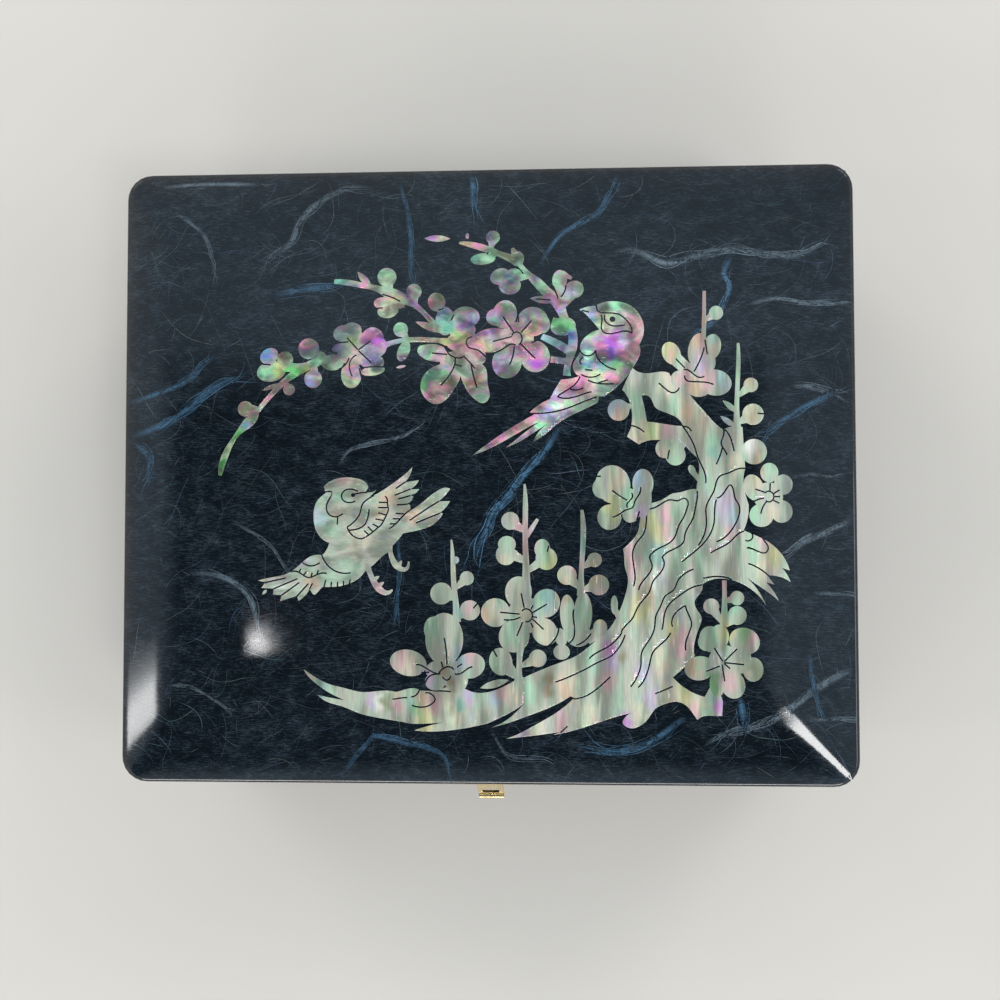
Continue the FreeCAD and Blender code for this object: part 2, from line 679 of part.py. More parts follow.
def stem(*stations):
    """A strip along a smooth line, given as places and widths."""
    middle = [at(x, y) for x, y, _ in stations]
    sides = ([], [])
    for number, point in enumerate(middle):
        along = middle[min(number + 1, len(middle) - 1)] - middle[max(number - 1, 0)]
        across = Vector(-along.y, along.x, 0).normalize() * (stations[number][2] * SCALE / 2)
        sides[0].append(point + across)
        sides[1].append(point - across)
    left, right = sides
    right.reverse()
    caps = (Part.LineSegment(left[-1], right[0]).toShape(), Part.LineSegment(right[-1], left[0]).toShape())
    return Part.Face(Part.Wire([smooth(left), caps[0], smooth(right), caps[1]]))


def petal(x, y, half_width, half_height, turn=0):
    """An oval, turned to the left by some degrees."""
    if half_width < half_height:
        half_width, half_height, turn = half_height, half_width, turn + 90
    shape = Part.Ellipse(Vector(), half_width * SCALE, half_height * SCALE).toShape()
    shape.Placement = Placement(at(x, y), Rotation(Vector(0, 0, 1), turn))
    return Part.Face(Part.Wire([shape]))


def leaf(tip, foot, width):
    """A pointed leaf between two places."""
    ends = (at(*tip), at(*foot))
    along = ends[1] - ends[0]
    belly = Vector(-along.y, along.x, 0).normalize() * (width * SCALE / 2)
    middle = (ends[0] + ends[1]) / 2
    sides = (Part.Arc(ends[0], middle + belly, ends[1]), Part.Arc(ends[1], middle - belly, ends[0]))
    return Part.Face(Part.Wire([side.toShape() for side in sides]))


def bud(centre, radius, foot):
    """A round bud with a neck that tapers to its foot."""
    ball = petal(centre[0], centre[1], radius, radius * 0.999)
    return [ball, stem((centre[0], centre[1], radius * 1.5), (foot[0], foot[1], 1.0))]


def saw_cuts(*lines):
    """Saw cuts of one width along smooth lines."""
    width = value("kerf") / SCALE
    return [stem(*[(x, y, width) for x, y in line]) for line in lines]


def left_spray():
    """Flowering spray on the left: blade, buds and three blossoms."""
    pieces = [
        stem((-72.2, -0.3, 0.9), (-71.6, 3, 1.8), (-70, 7, 1.6), (-67.2, 11.3, 1.4), (-64.6, 14, 2.8),
             (-62, 17.2, 1.2)),
        stem((-62.3, 16.8, 1.2), (-60, 19.6, 1.3), (-57, 23, 1.5), (-53.5, 26.2, 1.8), (-50, 28.5, 2.2),
             (-45.5, 30.6, 2.4)),
        leaf((-60.7, 22.9), (-55.6, 24.8), 1.2),
        petal(-58.8, 32.3, 2.6, 2.1, 30),
        petal(-54.4, 31.3, 2.2, 2.25),
        petal(-58.2, 28.1, 4.0, 2.8, 12),
        stem((-55.5, 29.6, 3.4), (-52, 29.2, 2.2), (-46, 30.3, 2.2)),
        petal(-45, 31.6, 2.1, 1.9),
        petal(-41.4, 30.4, 3.1, 2.2),
        petal(-37.6, 32.3, 2.9, 2.0, 20),
        petal(-38.7, 34.6, 2.9, 1.3, 15),
        petal(-38.4, 38.3, 2.8, 2.3, 10),
        petal(-36, 39.1, 2.6, 2.2),
        petal(-35.2, 36.6, 3.2, 2.4),
        petal(-30.4, 36.6, 3.1, 3.3),
        petal(-29.5, 34.7, 3.0, 3.05),
        petal(-30.6, 30.6, 3.4, 2.3, -10),
        petal(-30.3, 28, 3.3, 1.3, 8),
        petal(-36.2, 27, 2.8, 3.7),
        petal(-34.6, 32.6, 3.2, 3.0),
        stem((-28.6, 34.2, 2.4), (-24.5, 35.8, 1.3), (-20, 36.4, 1.4), (-15, 36.3, 1.4), (-9.5, 35.6, 2.2)),
        petal(-21.9, 33.3, 1.6, 2.9, -22),
        leaf((-24, 28.8), (-21.2, 29.3), 0.8),
        petal(-13.8, 32.8, 4.4, 2.4, -12),
        ring_outline((-9, 29.7), (-13, 29.3), (-16.3, 26.8), (-17.3, 23.6), (-15.8, 20.2), (-13, 18.8),
                     (-10, 20.3),
                     (-8, 23), (-6.5, 26.8)),
        ring_outline((-6.3, 26), (-5, 23), (-2.5, 20), (0, 19), (1.3, 20.2), (1, 24), (0.4, 28.5),
                     (-3, 30.4), (-6, 29.5)),
        petal(-7.4, 30, 4.6, 3.2),
        petal(-2.6, 31.5, 3.2, 2.6),
        petal(-5.5, 35.6, 4.8, 2.9),
        petal(-5, 42.4, 3.8, 2.9),
        petal(-6, 39, 3.7, 2.7),
        petal(-10.6, 41.4, 2.6, 3.9),
        petal(-12.9, 46.6, 2.4, 2.6, 15),
        stem((-22, 47.2, 2.6), (-18.5, 45.6, 1.6), (-15.5, 42.8, 1.4), (-11.5, 38.8, 2.0)),
        leaf((-18.7, 41.3), (-10.5, 38.2), 2.0),
        petal(5.6, 43, 3.3, 3.9, -12),
        petal(3.1, 42.3, 2.5, 2.3),
        petal(13.2, 41, 4.2, 4.0),
        petal(16, 40.2, 1.9, 2.4),
        petal(13.8, 31.5, 4.0, 4.3, 15),
        petal(6.2, 30, 4.0, 4.4, -10),
        petal(2.2, 36, 5.4, 3.3, 5),
        petal(9, 36.3, 4.5, 4.6),
        stem((-41, 52.6, 1.2), (-37.5, 52.3, 1.6), (-33, 51.4, 1.5), (-28.5, 50.3, 2.0), (-25.6, 49, 3.4),
             (-21.5, 47.1, 3.2)),
        leaf((-34.6, 55.2), (-30.6, 50.6), 1.9),
        petal(-26.7, 46.2, 3.4, 1.9, -8),
        petal(-26.2, 44.4, 2.9, 2.0, 10),
        stem((-25.5, 46, 3.0), (-21.8, 46.6, 2.6)),
        *bud((-65.3, 17.9), 2.1, (-61.6, 17.9)),
        *bud((-53.3, 23.1), 1.6, (-54.6, 25.4)),
        *bud((-47.9, 34.2), 2.85, (-45.2, 31.2)),
        *bud((-46.7, 25.9), 2.45, (-46.2, 29.9)),
        *bud((-22.7, 39.2), 2.0, (-20.8, 36.4)),
        *bud((-26.5, 53.6), 2.6, (-25.4, 49.6)),
        *bud((-19.1, 49.6), 2.1, (-18.7, 45.8)),
    ]
    cuts = saw_cuts(
        [(-60.8, 30.1), (-58.4, 29.9)],
        [(-37.4, 37.1), (-34.4, 33.8)],
        [(-31, 36.2), (-34.3, 33.8)],
        [(-34.3, 33.6), (-30.6, 30.1)],
        [(-36, 26.6), (-36, 31.5), (-34.8, 32.4)],
        [(-39.7, 28.5), (-38, 29.6), (-36.8, 31.7)],
        [(-33.4, 26.2), (-34, 28.8)],
        [(-33.2, 28.8), (-31, 29.1), (-27.4, 29)],
        [(-41, 35.7), (-37, 36)],
        [(-27.8, 48.9), (-25, 48), (-22.8, 46.9)],
        [(-29.5, 45.1), (-27.6, 45.2)],
        [(-17.8, 34.8), (-13, 35.3), (-10.8, 34.4), (-9.8, 32.7), (-8, 31.5), (-6.4, 31.3), (-5.3, 31.9)],
        [(-14.2, 32.7), (-10, 32.3)],
        [(-5.4, 31.6), (-4, 30.2), (-2.5, 28.4)],
        [(-3.5, 29.4), (-2.8, 26), (-1.9, 23.2)],
        [(-7.8, 31.2), (-8, 29.5), (-9.5, 26.5), (-11.8, 23.8)],
        [(-8, 29.6), (-6, 29)],
        [(-3.2, 37), (-4.8, 35.6), (-4.2, 34.2), (-2, 33.5), (-0.6, 32.6), (0.6, 31.4)],
        [(-9, 41.5), (-8.2, 43.2)],
        [(-12.4, 44.4), (-11, 44.9)],
        [(7.6, 37.3), (8.3, 38.1), (9.5, 38), (10.2, 37), (10.1, 35.5), (9.4, 34.7)],
        [(0.4, 31.7), (3, 32.6), (5.5, 33.9), (7.2, 34.9), (8.6, 34.6)],
        [(5.2, 42.4), (8, 38.1)],
        [(12.9, 41.3), (10, 38)],
        [(2.4, 35.7), (7.6, 37)],
        [(6.9, 29.3), (7.6, 31), (8.2, 34.4)],
        [(13.9, 30.9), (10, 34.9)],
        [(9.1, 44), (9.4, 40.8)],
        [(12.8, 35.3), (15.5, 36.4), (17.6, 38)],
    )
    return pieces, cuts


def top_spray():
    """Twig over the perched bird."""
    pieces = [
        leaf((-16.4, 64.3), (-9.2, 64.1), 1.8),
        petal(-4.6, 64.8, 0.5, 0.8),
        stem((-6.8, 62.9, 0.6), (-3, 62.2, 1.7), (0.8, 61, 1.9), (3.5, 60, 1.6)),
        petal(-0.3, 58.3, 3.4, 1.6, 5),
        stem((1.6, 58.8, 1.6), (3.6, 59.9, 1.4)),
        stem((3, 60.1, 1.4), (6, 58.9, 1.9), (8.5, 57.8, 2.4)),
        petal(9, 58.3, 1.9, 2.1),
        stem((8.6, 59, 2.6), (7.7, 61.2, 0.8)),
        stem((9.4, 57.2, 1.6), (12, 54, 1.6), (14.5, 51.6, 2.6), (17, 49, 2.8), (20, 46, 3.2),
             (21.3, 43, 2.4),
             (22.2, 40.6, 2.6)),
        petal(4.4, 53.4, 2.8, 2.2, 20),
        petal(7, 51, 3.0, 2.6),
        petal(8.2, 53.6, 2.2, 2.0),
        stem((9.2, 53, 2.2), (12.4, 53.4, 1.2)),
        leaf((12.5, 47.3), (20, 46.5), 2.1),
        petal(20.5, 52.2, 2.0, 2.8, -5),
        stem((20.5, 50.6, 3.0), (20.4, 46, 2.2)),
        stem((21.2, 54, 1.8), (23.8, 52.6, 0.8)),
        petal(24.4, 49.6, 2.6, 2.4, 20),
        stem((23.6, 48.6, 3.6), (20.8, 45.2, 2.4)),
        petal(21.4, 39.6, 3.4, 2.5, 8),
        stem((18.4, 41, 2.4), (21, 40, 3)),
        stem((15.6, 36.9, 1.6), (18.5, 35.6, 2.0), (23.4, 32.6, 2.4)),
        stem((22.6, 40.6, 2.6), (24, 37, 2.5), (23.7, 33, 2.4), (22.7, 29.5, 1.8), (22.4, 26.2, 2.2)),
        stem((18, 30.6, 1.7), (20, 30.4, 1.6), (22.9, 29.8, 1.8)),
        *bud((2.4, 64.3), 1.9, (1.9, 60.9)),
    ]
    cuts = saw_cuts(
        [(14, 47.2), (18, 46.8)],
        [(18.8, 50.6), (20.1, 47.2)],
        [(22.2, 50.8), (21.8, 49), (20.8, 47.6)],
        [(0.8, 59.6), (1.2, 60.2)],
    )
    return pieces, cuts


def perched_bird():
    """Bird on the branch, with its long tail to the left."""
    pieces = [outline(
        [(25.8, 44.1), (28.2, 44.9), (30.2, 45.1)],
        [(30.2, 45.1), (32.5, 46.1), (36, 46.2), (39.5, 45.1), (42, 42.5), (43.1, 39.3), (42.7, 36.2),
         (41.8, 34.3)],
        [(41.8, 34.3), (42.1, 32.3), (41.2, 30), (39.2, 26.8), (36.2, 23.4), (33.4, 21.2), (32.3, 20.5)],
        [(32.3, 20.5), (30.9, 20.6)],
        [(30.9, 20.6), (30.7, 18.9)],
        [(30.7, 18.9), (26, 16.6), (21, 14), (17.5, 11.2), (13.2, 8.3)],
        [(13.2, 8.3), (14.4, 10.6), (17.8, 13.6)],
        [(17.8, 13.6), (13.8, 11.1), (10, 8.7), (5.9, 6.9)],
        [(5.9, 6.9), (8.8, 9.2), (12, 11.7), (15, 13.8)],
        [(15, 13.8), (12, 12.4), (9, 10.7), (4, 7.9), (-3.2, 4.8)],
        [(-3.2, 4.8), (1, 8), (6, 11.4), (13.4, 15.7)],
        [(13.4, 15.7), (12.4, 16.4)],
        [(12.4, 16.4), (14.8, 18.4), (17.8, 19.9)],
        [(17.8, 19.9), (19.2, 22.6), (20.8, 25.2)],
        [(20.8, 25.2), (23.3, 25.4), (25.8, 26.1)],
        [(25.8, 26.1), (24.4, 27.2), (24, 29), (25, 31), (26, 33)],
        [(26, 33), (26.2, 35), (27.8, 37), (30, 38.3), (31.2, 38.5)],
        [(31.2, 38.5), (29.2, 41), (26.9, 43.4)],
        [(26.9, 43.4), (25.8, 44.1)],
    )]
    cuts = [petal(34.7, 41.4, 0.8, 0.75)] + saw_cuts(
        [(26.4, 43.9), (28.4, 43.4)],
        [(30.4, 45.3), (30.9, 43.6), (34, 43.1), (36.6, 42.6), (38.6, 40.9), (39.9, 38.4), (39.8, 37.4)],
        [(39.9, 37.5), (36, 37.8), (33, 37.6), (31.9, 38.4), (31.8, 40.5), (31.6, 42.6)],
        [(32.7, 42.6), (32.9, 40.7), (34.4, 39.7), (36.4, 39.6), (38, 39.8)],
        [(25.9, 33.1), (27.2, 31.7), (28.6, 31.6), (29.6, 32.2), (30.2, 33.1)],
        [(30.2, 33), (30.6, 31), (32, 29.4), (34, 28.2), (35.6, 27.7)],
        [(26.8, 31.2), (25.9, 30.1), (26.3, 29.2)],
        [(27.2, 27.8), (29.3, 27.6)],
        [(26.2, 26.5), (28, 25.8), (30, 25.9), (31.4, 26.6)],
        [(28, 25), (30, 24.2), (32.4, 23.9), (35, 23.9)],
        [(30.8, 24.2), (33.4, 25)],
        [(25.9, 26), (23.5, 23), (21.4, 21.7), (19.8, 20.6)],
        [(19.8, 20.6), (21.4, 20.1), (25, 20.6), (29, 21.8)],
        [(23.2, 22.6), (24.4, 22.3), (26.8, 22.9)],
        [(12.8, 16.1), (17, 16.2), (21.5, 17.1), (25.5, 18.6), (30.4, 20.4)],
    )
    return pieces, cuts


def flying_bird():
    """Bird coming down with its wings and tail spread."""
    pieces = [
        outline(
            [(-43.6, -3.4), (-41.5, -1.8), (-38, -1), (-34.5, -1.3), (-32, -2.6), (-31.5, -3.8)],
            [(-31.5, -3.8), (-32.2, -5)],
            [(-32.2, -5), (-31, -5.1), (-29.2, -4.4)],
            [(-29.2, -4.4), (-31.2, -6.4)],
            [(-31.2, -6.4), (-29, -5.4), (-27, -4.2), (-23, -1.4), (-21, 0.2), (-19.5, 1.7)],
            [(-19.5, 1.7), (-20.2, -0.6), (-21.6, -2.4)],
            [(-21.6, -2.4), (-17.7, -1.8)],
            [(-17.7, -1.8), (-18.6, -3.2), (-20.2, -4.3)],
            [(-20.2, -4.3), (-17.6, -4.2)],
            [(-17.6, -4.2), (-18.4, -5.2), (-20.2, -5.8)],
            [(-20.2, -5.8), (-19.2, -6.2)],
            [(-19.2, -6.2), (-19.6, -7.2), (-20.9, -8.1)],
            [(-20.9, -8.1), (-20.1, -8.6)],
            [(-20.1, -8.6), (-20, -9.5), (-20.4, -10.2)],
            [(-20.4, -10.2), (-16, -7.2), (-12.5, -4.6), (-10.8, -3.9), (-9.2, -4.2)],
            [(-9.2, -4.2), (-10.6, -6), (-12.4, -7.6)],
            [(-12.4, -7.6), (-9.2, -7.5)],
            [(-9.2, -7.5), (-10.2, -9), (-12, -10.7)],
            [(-12, -10.7), (-11.3, -10.8), (-12.2, -12.4), (-14.5, -14.2), (-18, -15.4), (-22, -16.2)],
            [(-22, -16.2), (-23.2, -17.8), (-24.9, -19.6)],
            [(-24.9, -19.6), (-26, -21.2)],
            [(-26, -21.2), (-28.5, -23.2), (-30.4, -25), (-32, -26.2), (-33.2, -27.6), (-35, -29),
             (-38.5, -30.3),
             (-43.6, -30.6)],
            [(-43.6, -30.6), (-44.8, -31.6), (-46.2, -32.7), (-47, -31.8), (-47.3, -31)],
            [(-47.3, -31), (-48.6, -33), (-50.4, -34.4)],
            [(-50.4, -34.4), (-50.8, -33)],
            [(-50.8, -33), (-55.5, -34.5)],
            [(-55.5, -34.5), (-55, -32.8)],
            [(-55, -32.8), (-57.4, -32.7)],
            [(-57.4, -32.7), (-57.2, -31.1)],
            [(-57.2, -31.1), (-60.6, -30.9)],
            [(-60.6, -30.9), (-59.5, -29.4)],
            [(-59.5, -29.4), (-61.5, -28.9)],
            [(-61.5, -28.9), (-57.5, -28), (-53.5, -27), (-50, -24.5), (-47.8, -22.7), (-44, -22.1)],
            [(-44, -22.1), (-42.8, -20.6), (-42.1, -18.7)],
            [(-42.1, -18.7), (-44.5, -17.2), (-46, -14.5), (-46.4, -11), (-45.8, -8), (-43.9, -5.8),
             (-43.1, -5.2)],
            [(-43.1, -5.2), (-43.6, -3.4)],
        ),
        leaf((-60.3, -32.7), (-59.1, -31.4), 0.8),
        stem((-25.6, -19.4, 1.8), (-24.9, -23, 1.4), (-23.4, -25.2, 1.7), (-21.6, -25.9, 1.2),
             (-20.4, -23.8, 0.5)),
        leaf((-23.4, -25.4), (-22.3, -23.5), 1.0),
        stem((-31.6, -25.2, 1.7), (-30.2, -28.6, 1.5), (-28.6, -31, 1.8), (-26.6, -32.2, 1.3),
             (-24.8, -31.4, 0.5)),
        leaf((-30.2, -29), (-28.4, -27.7), 1.0),
        leaf((-29, -30.6), (-27.1, -29.3), 1.0),
    ]
    cuts = [petal(-35.6, -5.8, 0.6, 0.55)] + saw_cuts(
        [(-43.4, -5), (-41.4, -5.3), (-41.9, -6.5), (-42.8, -8.4), (-42.6, -10.4), (-41.4, -11.5),
         (-39.6, -11.5),
         (-38.4, -10.8)],
        [(-39.8, -11.8), (-39.9, -13.8)],
        [(-35, -7.4), (-36.8, -7.8), (-38.4, -7.1), (-38.7, -5.6), (-37.6, -4.4), (-36, -4.2),
         (-34.2, -4.8)],
        [(-35.3, -5.6), (-33.6, -5.2), (-31.8, -5.1)],
        [(-29.9, -5.9), (-32, -7.2), (-33.1, -8.4), (-33.6, -10.4), (-35.2, -12.9), (-37.2, -14.4)],
        [(-37.2, -14.4), (-36.4, -16), (-35, -17.2), (-33.4, -17.6), (-32.3, -17.2)],
        [(-31.2, -9.6), (-31.6, -12), (-32.5, -13.9), (-34.5, -15), (-36.7, -15.3)],
        [(-26.9, -6.1), (-26.3, -7), (-26.2, -8.4), (-26, -9.6), (-26.4, -11), (-27.1, -12.4),
         (-27.8, -13.7),
         (-29, -14.8), (-30.2, -15.8), (-32.2, -17.2)],
        [(-28.6, -7.8), (-26.2, -7.8)],
        [(-28.8, -9.2), (-26.1, -9.2)],
        [(-28.8, -10.6), (-26.5, -11.2)],
        [(-29.5, -12.3), (-27.2, -12.7)],
        [(-30.3, -13.6), (-28.6, -14.5)],
        [(-31.6, -14.3), (-30.2, -15.7)],
        [(-32.6, -15.4), (-31.4, -16.5)],
        [(-20.2, -10), (-21.5, -11), (-23, -12.6), (-25.8, -14.9)],
        [(-24, -10.8), (-21.4, -10.9)],
        [(-24.8, -12.2), (-22.7, -12.3)],
        [(-25.6, -13.6), (-24.1, -13.6)],
        [(-20.2, -12.7), (-16.5, -10.2), (-12.2, -7.5)],
        [(-18.5, -13.4), (-14.8, -11.9), (-11.8, -10.7)],
        [(-24, -4.1), (-21.4, -2.3)],
        [(-24.3, -5.9), (-20, -4.2)],
        [(-23.3, -6.9), (-20, -6)],
        [(-23.7, -8.5), (-20.7, -8.3)],
        [(-44.1, -21.9), (-42.8, -24.4), (-41, -26), (-39, -26.8), (-36.2, -26.8)],
        [(-49.4, -24), (-47.5, -24.9), (-44.6, -24.1)],
        [(-52.6, -26.6), (-50.3, -26.7), (-47.6, -28.1), (-45.4, -27.3), (-42.7, -27)],
        [(-49.8, -25.7), (-50.3, -26.7)],
        [(-48.2, -26.4), (-49, -27.4)],
        [(-46.7, -26.8), (-47, -28)],
        [(-45, -26.1), (-45.4, -27.3)],
        [(-43, -28.7), (-43.5, -30.9)],
        [(-41.4, -29.2), (-41.6, -30.8)],
        [(-39.8, -29.2), (-39.8, -30.8)],
        [(-38.1, -29), (-38.2, -30.6)],
        [(-36.3, -28.6), (-36.6, -30)],
        [(-50.9, -33.2), (-47.7, -29.7)],
        [(-55.2, -33), (-50.2, -29.4)],
        [(-57.4, -31.2), (-50.7, -28.4)],
        [(-59.8, -29.5), (-53.9, -28.2)],
        [(-47.4, -31.2), (-46.6, -29.6)],
    )
    return pieces, cuts


def plum_trunk():
    """Old trunk with its forked upper limb, feathered branch and right-hand roots."""
    pieces = [outline(
        [(40, 28.2), (42, 26.9), (45.5, 26.8), (48.8, 27), (50.4, 26.2)],
        [(50.4, 26.2), (53, 24.3), (54.6, 22)],
        [(54.6, 22), (56, 19.8), (58.5, 17), (61, 14), (64, 11.3)],
        [(64, 11.3), (66.8, 12.2), (69.2, 12)],
        [(69.2, 12), (69.5, 6), (69.8, 0.8)],
        [(69.8, 0.8), (69.3, -3), (69.8, -6), (70.6, -8.8)],
        [(70.6, -8.8), (70.4, -12), (69.2, -15.6)],
        [(69.2, -15.6), (72.5, -17), (76.5, -19.2), (79.3, -22), (81.4, -26.3)],
        [(81.4, -26.3), (79.3, -25.6)],
        [(79.3, -25.6), (80.8, -27.6), (81.6, -29.4)],
        [(81.6, -29.4), (78.5, -27.9), (75.4, -27.6)],
        [(75.4, -27.6), (77.2, -30)],
        [(77.2, -30), (75, -29.4)],
        [(75, -29.4), (77, -31.8), (78.4, -34.4)],
        [(78.4, -34.4), (75.5, -32), (72, -29.6), (69.4, -27.7)],
        [(69.4, -27.7), (72.5, -31), (75, -35.6)],
        [(75, -35.6), (72, -32), (69, -30), (65, -28.6), (61, -28.6), (58.2, -30)],
        [(58.2, -30), (57.4, -32.6), (56.1, -34.6), (56.8, -36.8), (57.9, -38.8), (57.2, -41.5),
         (56.2, -44.5), (56, -49)],
        [(56, -49), (53.6, -51.6), (50.2, -54.6)],
        [(50.2, -54.6), (53, -57.2), (58.6, -59.8)],
        [(58.6, -59.8), (60.4, -56.5)],
        [(60.4, -56.5), (62, -58), (63.4, -61)],
        [(63.4, -61), (63.2, -64.8)],
        [(63.2, -64.8), (60, -64.8), (58.2, -65), (56.7, -66)],
        [(56.7, -66), (55.2, -63.8), (53.4, -61.9), (51, -61.1), (48.2, -61.7), (45.6, -63), (43.6, -65.8),
         (41.2, -67.8),
         (38.6, -68.2), (36.9, -66.8), (37.6, -65.3), (39, -64.2)],
        [(39, -64.2), (34, -65.6), (27, -68), (18.4, -70.2)],
        [(18.4, -70.2), (20.4, -69.4)],
        [(20.4, -69.4), (12, -70.6), (5.8, -71.3)],
        [(5.8, -71.3), (9.5, -69.8), (13.5, -67.6), (18, -65), (24, -60.2)],
        [(24, -60.2), (23, -59.8)],
        [(23, -59.8), (18, -62.6), (12, -65), (6.5, -67), (2, -68.2)],
        [(2, -68.2), (6, -66.2), (9, -63.6), (10.6, -61.8)],
        [(10.6, -61.8), (10.7, -54.8)],
        [(10.7, -54.8), (14, -53.3), (20, -50.9), (24.6, -49), (28.6, -46), (31.4, -43.6), (33.6, -41.6)],
        [(33.6, -41.6), (35.5, -38.5), (37.2, -34.5), (38.2, -31), (38.4, -28), (37.7, -25.5), (37.5, -23),
         (37.2, -20.5)],
        [(37.2, -20.5), (39.5, -18.3), (41.2, -15.8), (41.8, -12.5), (42.6, -10), (43.6, -8.2)],
        [(43.6, -8.2), (46.5, -7.8), (48.6, -6.8), (50.5, -5.7), (52.5, -5.4), (54.5, -4.8), (56.8, -4.6)],
        [(56.8, -4.6), (57.2, -2), (57.4, 2.8), (56.9, 4)],
        [(56.9, 4), (55.4, 5.4), (54.2, 6.8)],
        [(54.2, 6.8), (51, 7.8), (47.8, 8.6), (44.5, 8.6), (41.6, 7.5)],
        [(41.6, 7.5), (38.4, 9.6)],
        [(38.4, 9.6), (39.5, 12)],
        [(39.5, 12), (39.8, 15.5), (39.2, 19), (37.2, 22.3)],
        [(37.2, 22.3), (38.6, 25.4), (40, 28.2)],
    ), petal(34.8, -35.4, 0.95, 2.5), stem((34.9, -36.5, 1.4), (36.2, -39, 1.6)), petal(55.7, 0.5, 0.9,
                                                                                        1.5, 25),
        stem((55.9, 0, 1.4), (57.6, -2, 1.4))]
    fork = outline(
        [(42.4, 20.7), (45, 19.6), (46, 17.5), (47.8, 16.4), (50.4, 15.4), (53.4, 12.4)],
        [(53.4, 12.4), (50, 12.7), (46.5, 13.3), (43.8, 13.6)],
        [(43.8, 13.6), (43.2, 17), (42.4, 20.7)],
    )
    cuts = [fork] + saw_cuts(
        [(53.2, 12.5), (55, 9.7), (56.4, 6.8), (57.3, 3.8), (58.6, 1), (59.3, -3)],
        [(53.2, 12.2), (54.2, 12.2), (55.6, 11)],
        [(39.5, 12.6), (41.4, 12), (43, 10.8)],
        [(50, 26.6), (51.4, 24.6), (52.3, 22.4), (51, 21.4), (49, 22.2), (47, 24)],
        [(64.1, 11.6), (64, 9.5), (63.5, 7.5), (64.4, 5.8), (65, 4.5)],
        [(64.4, 11.4), (65.8, 9.5), (66.6, 7), (66.9, 5.6)],
        [(63.8, 6.6), (63, 4), (62.1, 2)],
        [(69.9, 0.9), (67, 0.5), (65, -0.4), (63.4, -0.9), (62.2, -2.4), (61.6, -4.6), (60.4, -7),
         (59.3, -9.6), (59.4, -12.5),
         (59.2, -15.2), (58.4, -17.6), (57.2, -19.6)],
        [(62.2, -7), (63.8, -5.9), (64.9, -4.3), (65.8, -3.5), (66.6, -4.8), (67, -7), (68, -8.8),
         (68.2, -10.6), (67.4, -13.2),
         (65.8, -15.8), (64, -17.6), (62, -18.6)],
        [(62.1, -7.3), (61.6, -10), (61.4, -13.5), (60.4, -16.5), (58.6, -19), (55.5, -21.8), (52.8, -24)],
        [(69.3, -15.8), (67, -17.2), (65.4, -18.8), (63, -20.2), (60.4, -21.6)],
        [(69.6, -18.2), (71, -18.2), (71.6, -17.4), (71.3, -16.4)],
        [(70, -20.3), (73, -21.2), (75.2, -21.4), (75.7, -20.4), (75, -18.8), (74.2, -17.6)],
        [(70.4, -24.4), (73, -25.6), (75.8, -27.7)],
        [(58.4, -28.3), (61, -27.9), (64, -28), (66, -28.7)],
        [(43.8, -9.8), (46, -9.3), (48, -8.1), (50, -7.4), (52, -7.6), (53.6, -7), (54.5, -7.8),
         (54.3, -9.6), (53.4, -12),
         (52, -14.4), (51.3, -16.6), (49.8, -18.7), (47, -20.2), (44.8, -21.8)],
        [(44.8, -21.7), (44.3, -23), (44.9, -24.8), (44.4, -26.6), (43, -28.4), (41.3, -31.5)],
        [(43.6, -10), (43.4, -13.5), (42.7, -16.4), (41, -18.6), (39.9, -20.7), (39.8, -23.5), (40.3, -27),
         (39.9, -30.5)],
        [(57, -5), (57, -7), (56.5, -9.5), (55.9, -12.2), (54.6, -14.6), (53.7, -16.6), (53.3, -18.6),
         (51.4, -20.2),
         (49, -21.4), (47.5, -22.9)],
        [(47.6, -22.8), (48.1, -24.7), (46.8, -27.2), (45, -29.4), (44.3, -31.6), (42.4, -34.2),
         (40.7, -36.7), (39.6, -39),
         (37.2, -41.6), (36.6, -42.6)],
        [(37.6, -43.4), (37, -45), (35.8, -47), (33.6, -49.2), (31, -50.4), (28, -52), (24, -54),
         (19, -56)],
        [(36.8, -42.7), (35, -45), (33, -46.6), (30.5, -47.9), (28, -49.8)],
        [(55.9, -25.9), (53.4, -27.2), (51.6, -29.2), (50.6, -31.4), (48.4, -33), (47.2, -35.5),
         (45.8, -38.4), (45.5, -41),
         (44.6, -43.8), (43, -46.2), (41.9, -48.4), (41.8, -51), (41, -54), (39, -57.2)],
        [(58.1, -30.1), (55, -31), (52, -33), (49.6, -35), (48.2, -37.5), (47.8, -40), (47.4, -42)],
        [(49.7, -42.8), (47.4, -45.6), (45, -48), (44.1, -51), (43, -54.5), (41, -57.4)],
        [(50.2, -41.2), (50.2, -39), (51.6, -37), (53.6, -35.6)],
        [(53.6, -35.5), (54.5, -38), (55.2, -40), (54.3, -43.5), (53.7, -47.5)],
        [(33.6, -54.6), (31, -57), (27.5, -59.5), (23.8, -60.5)],
        [(50.2, -57), (47.5, -58.2), (45.5, -59)],
        [(20.3, -69.6), (22.2, -67.8)],
    )
    return pieces, cuts


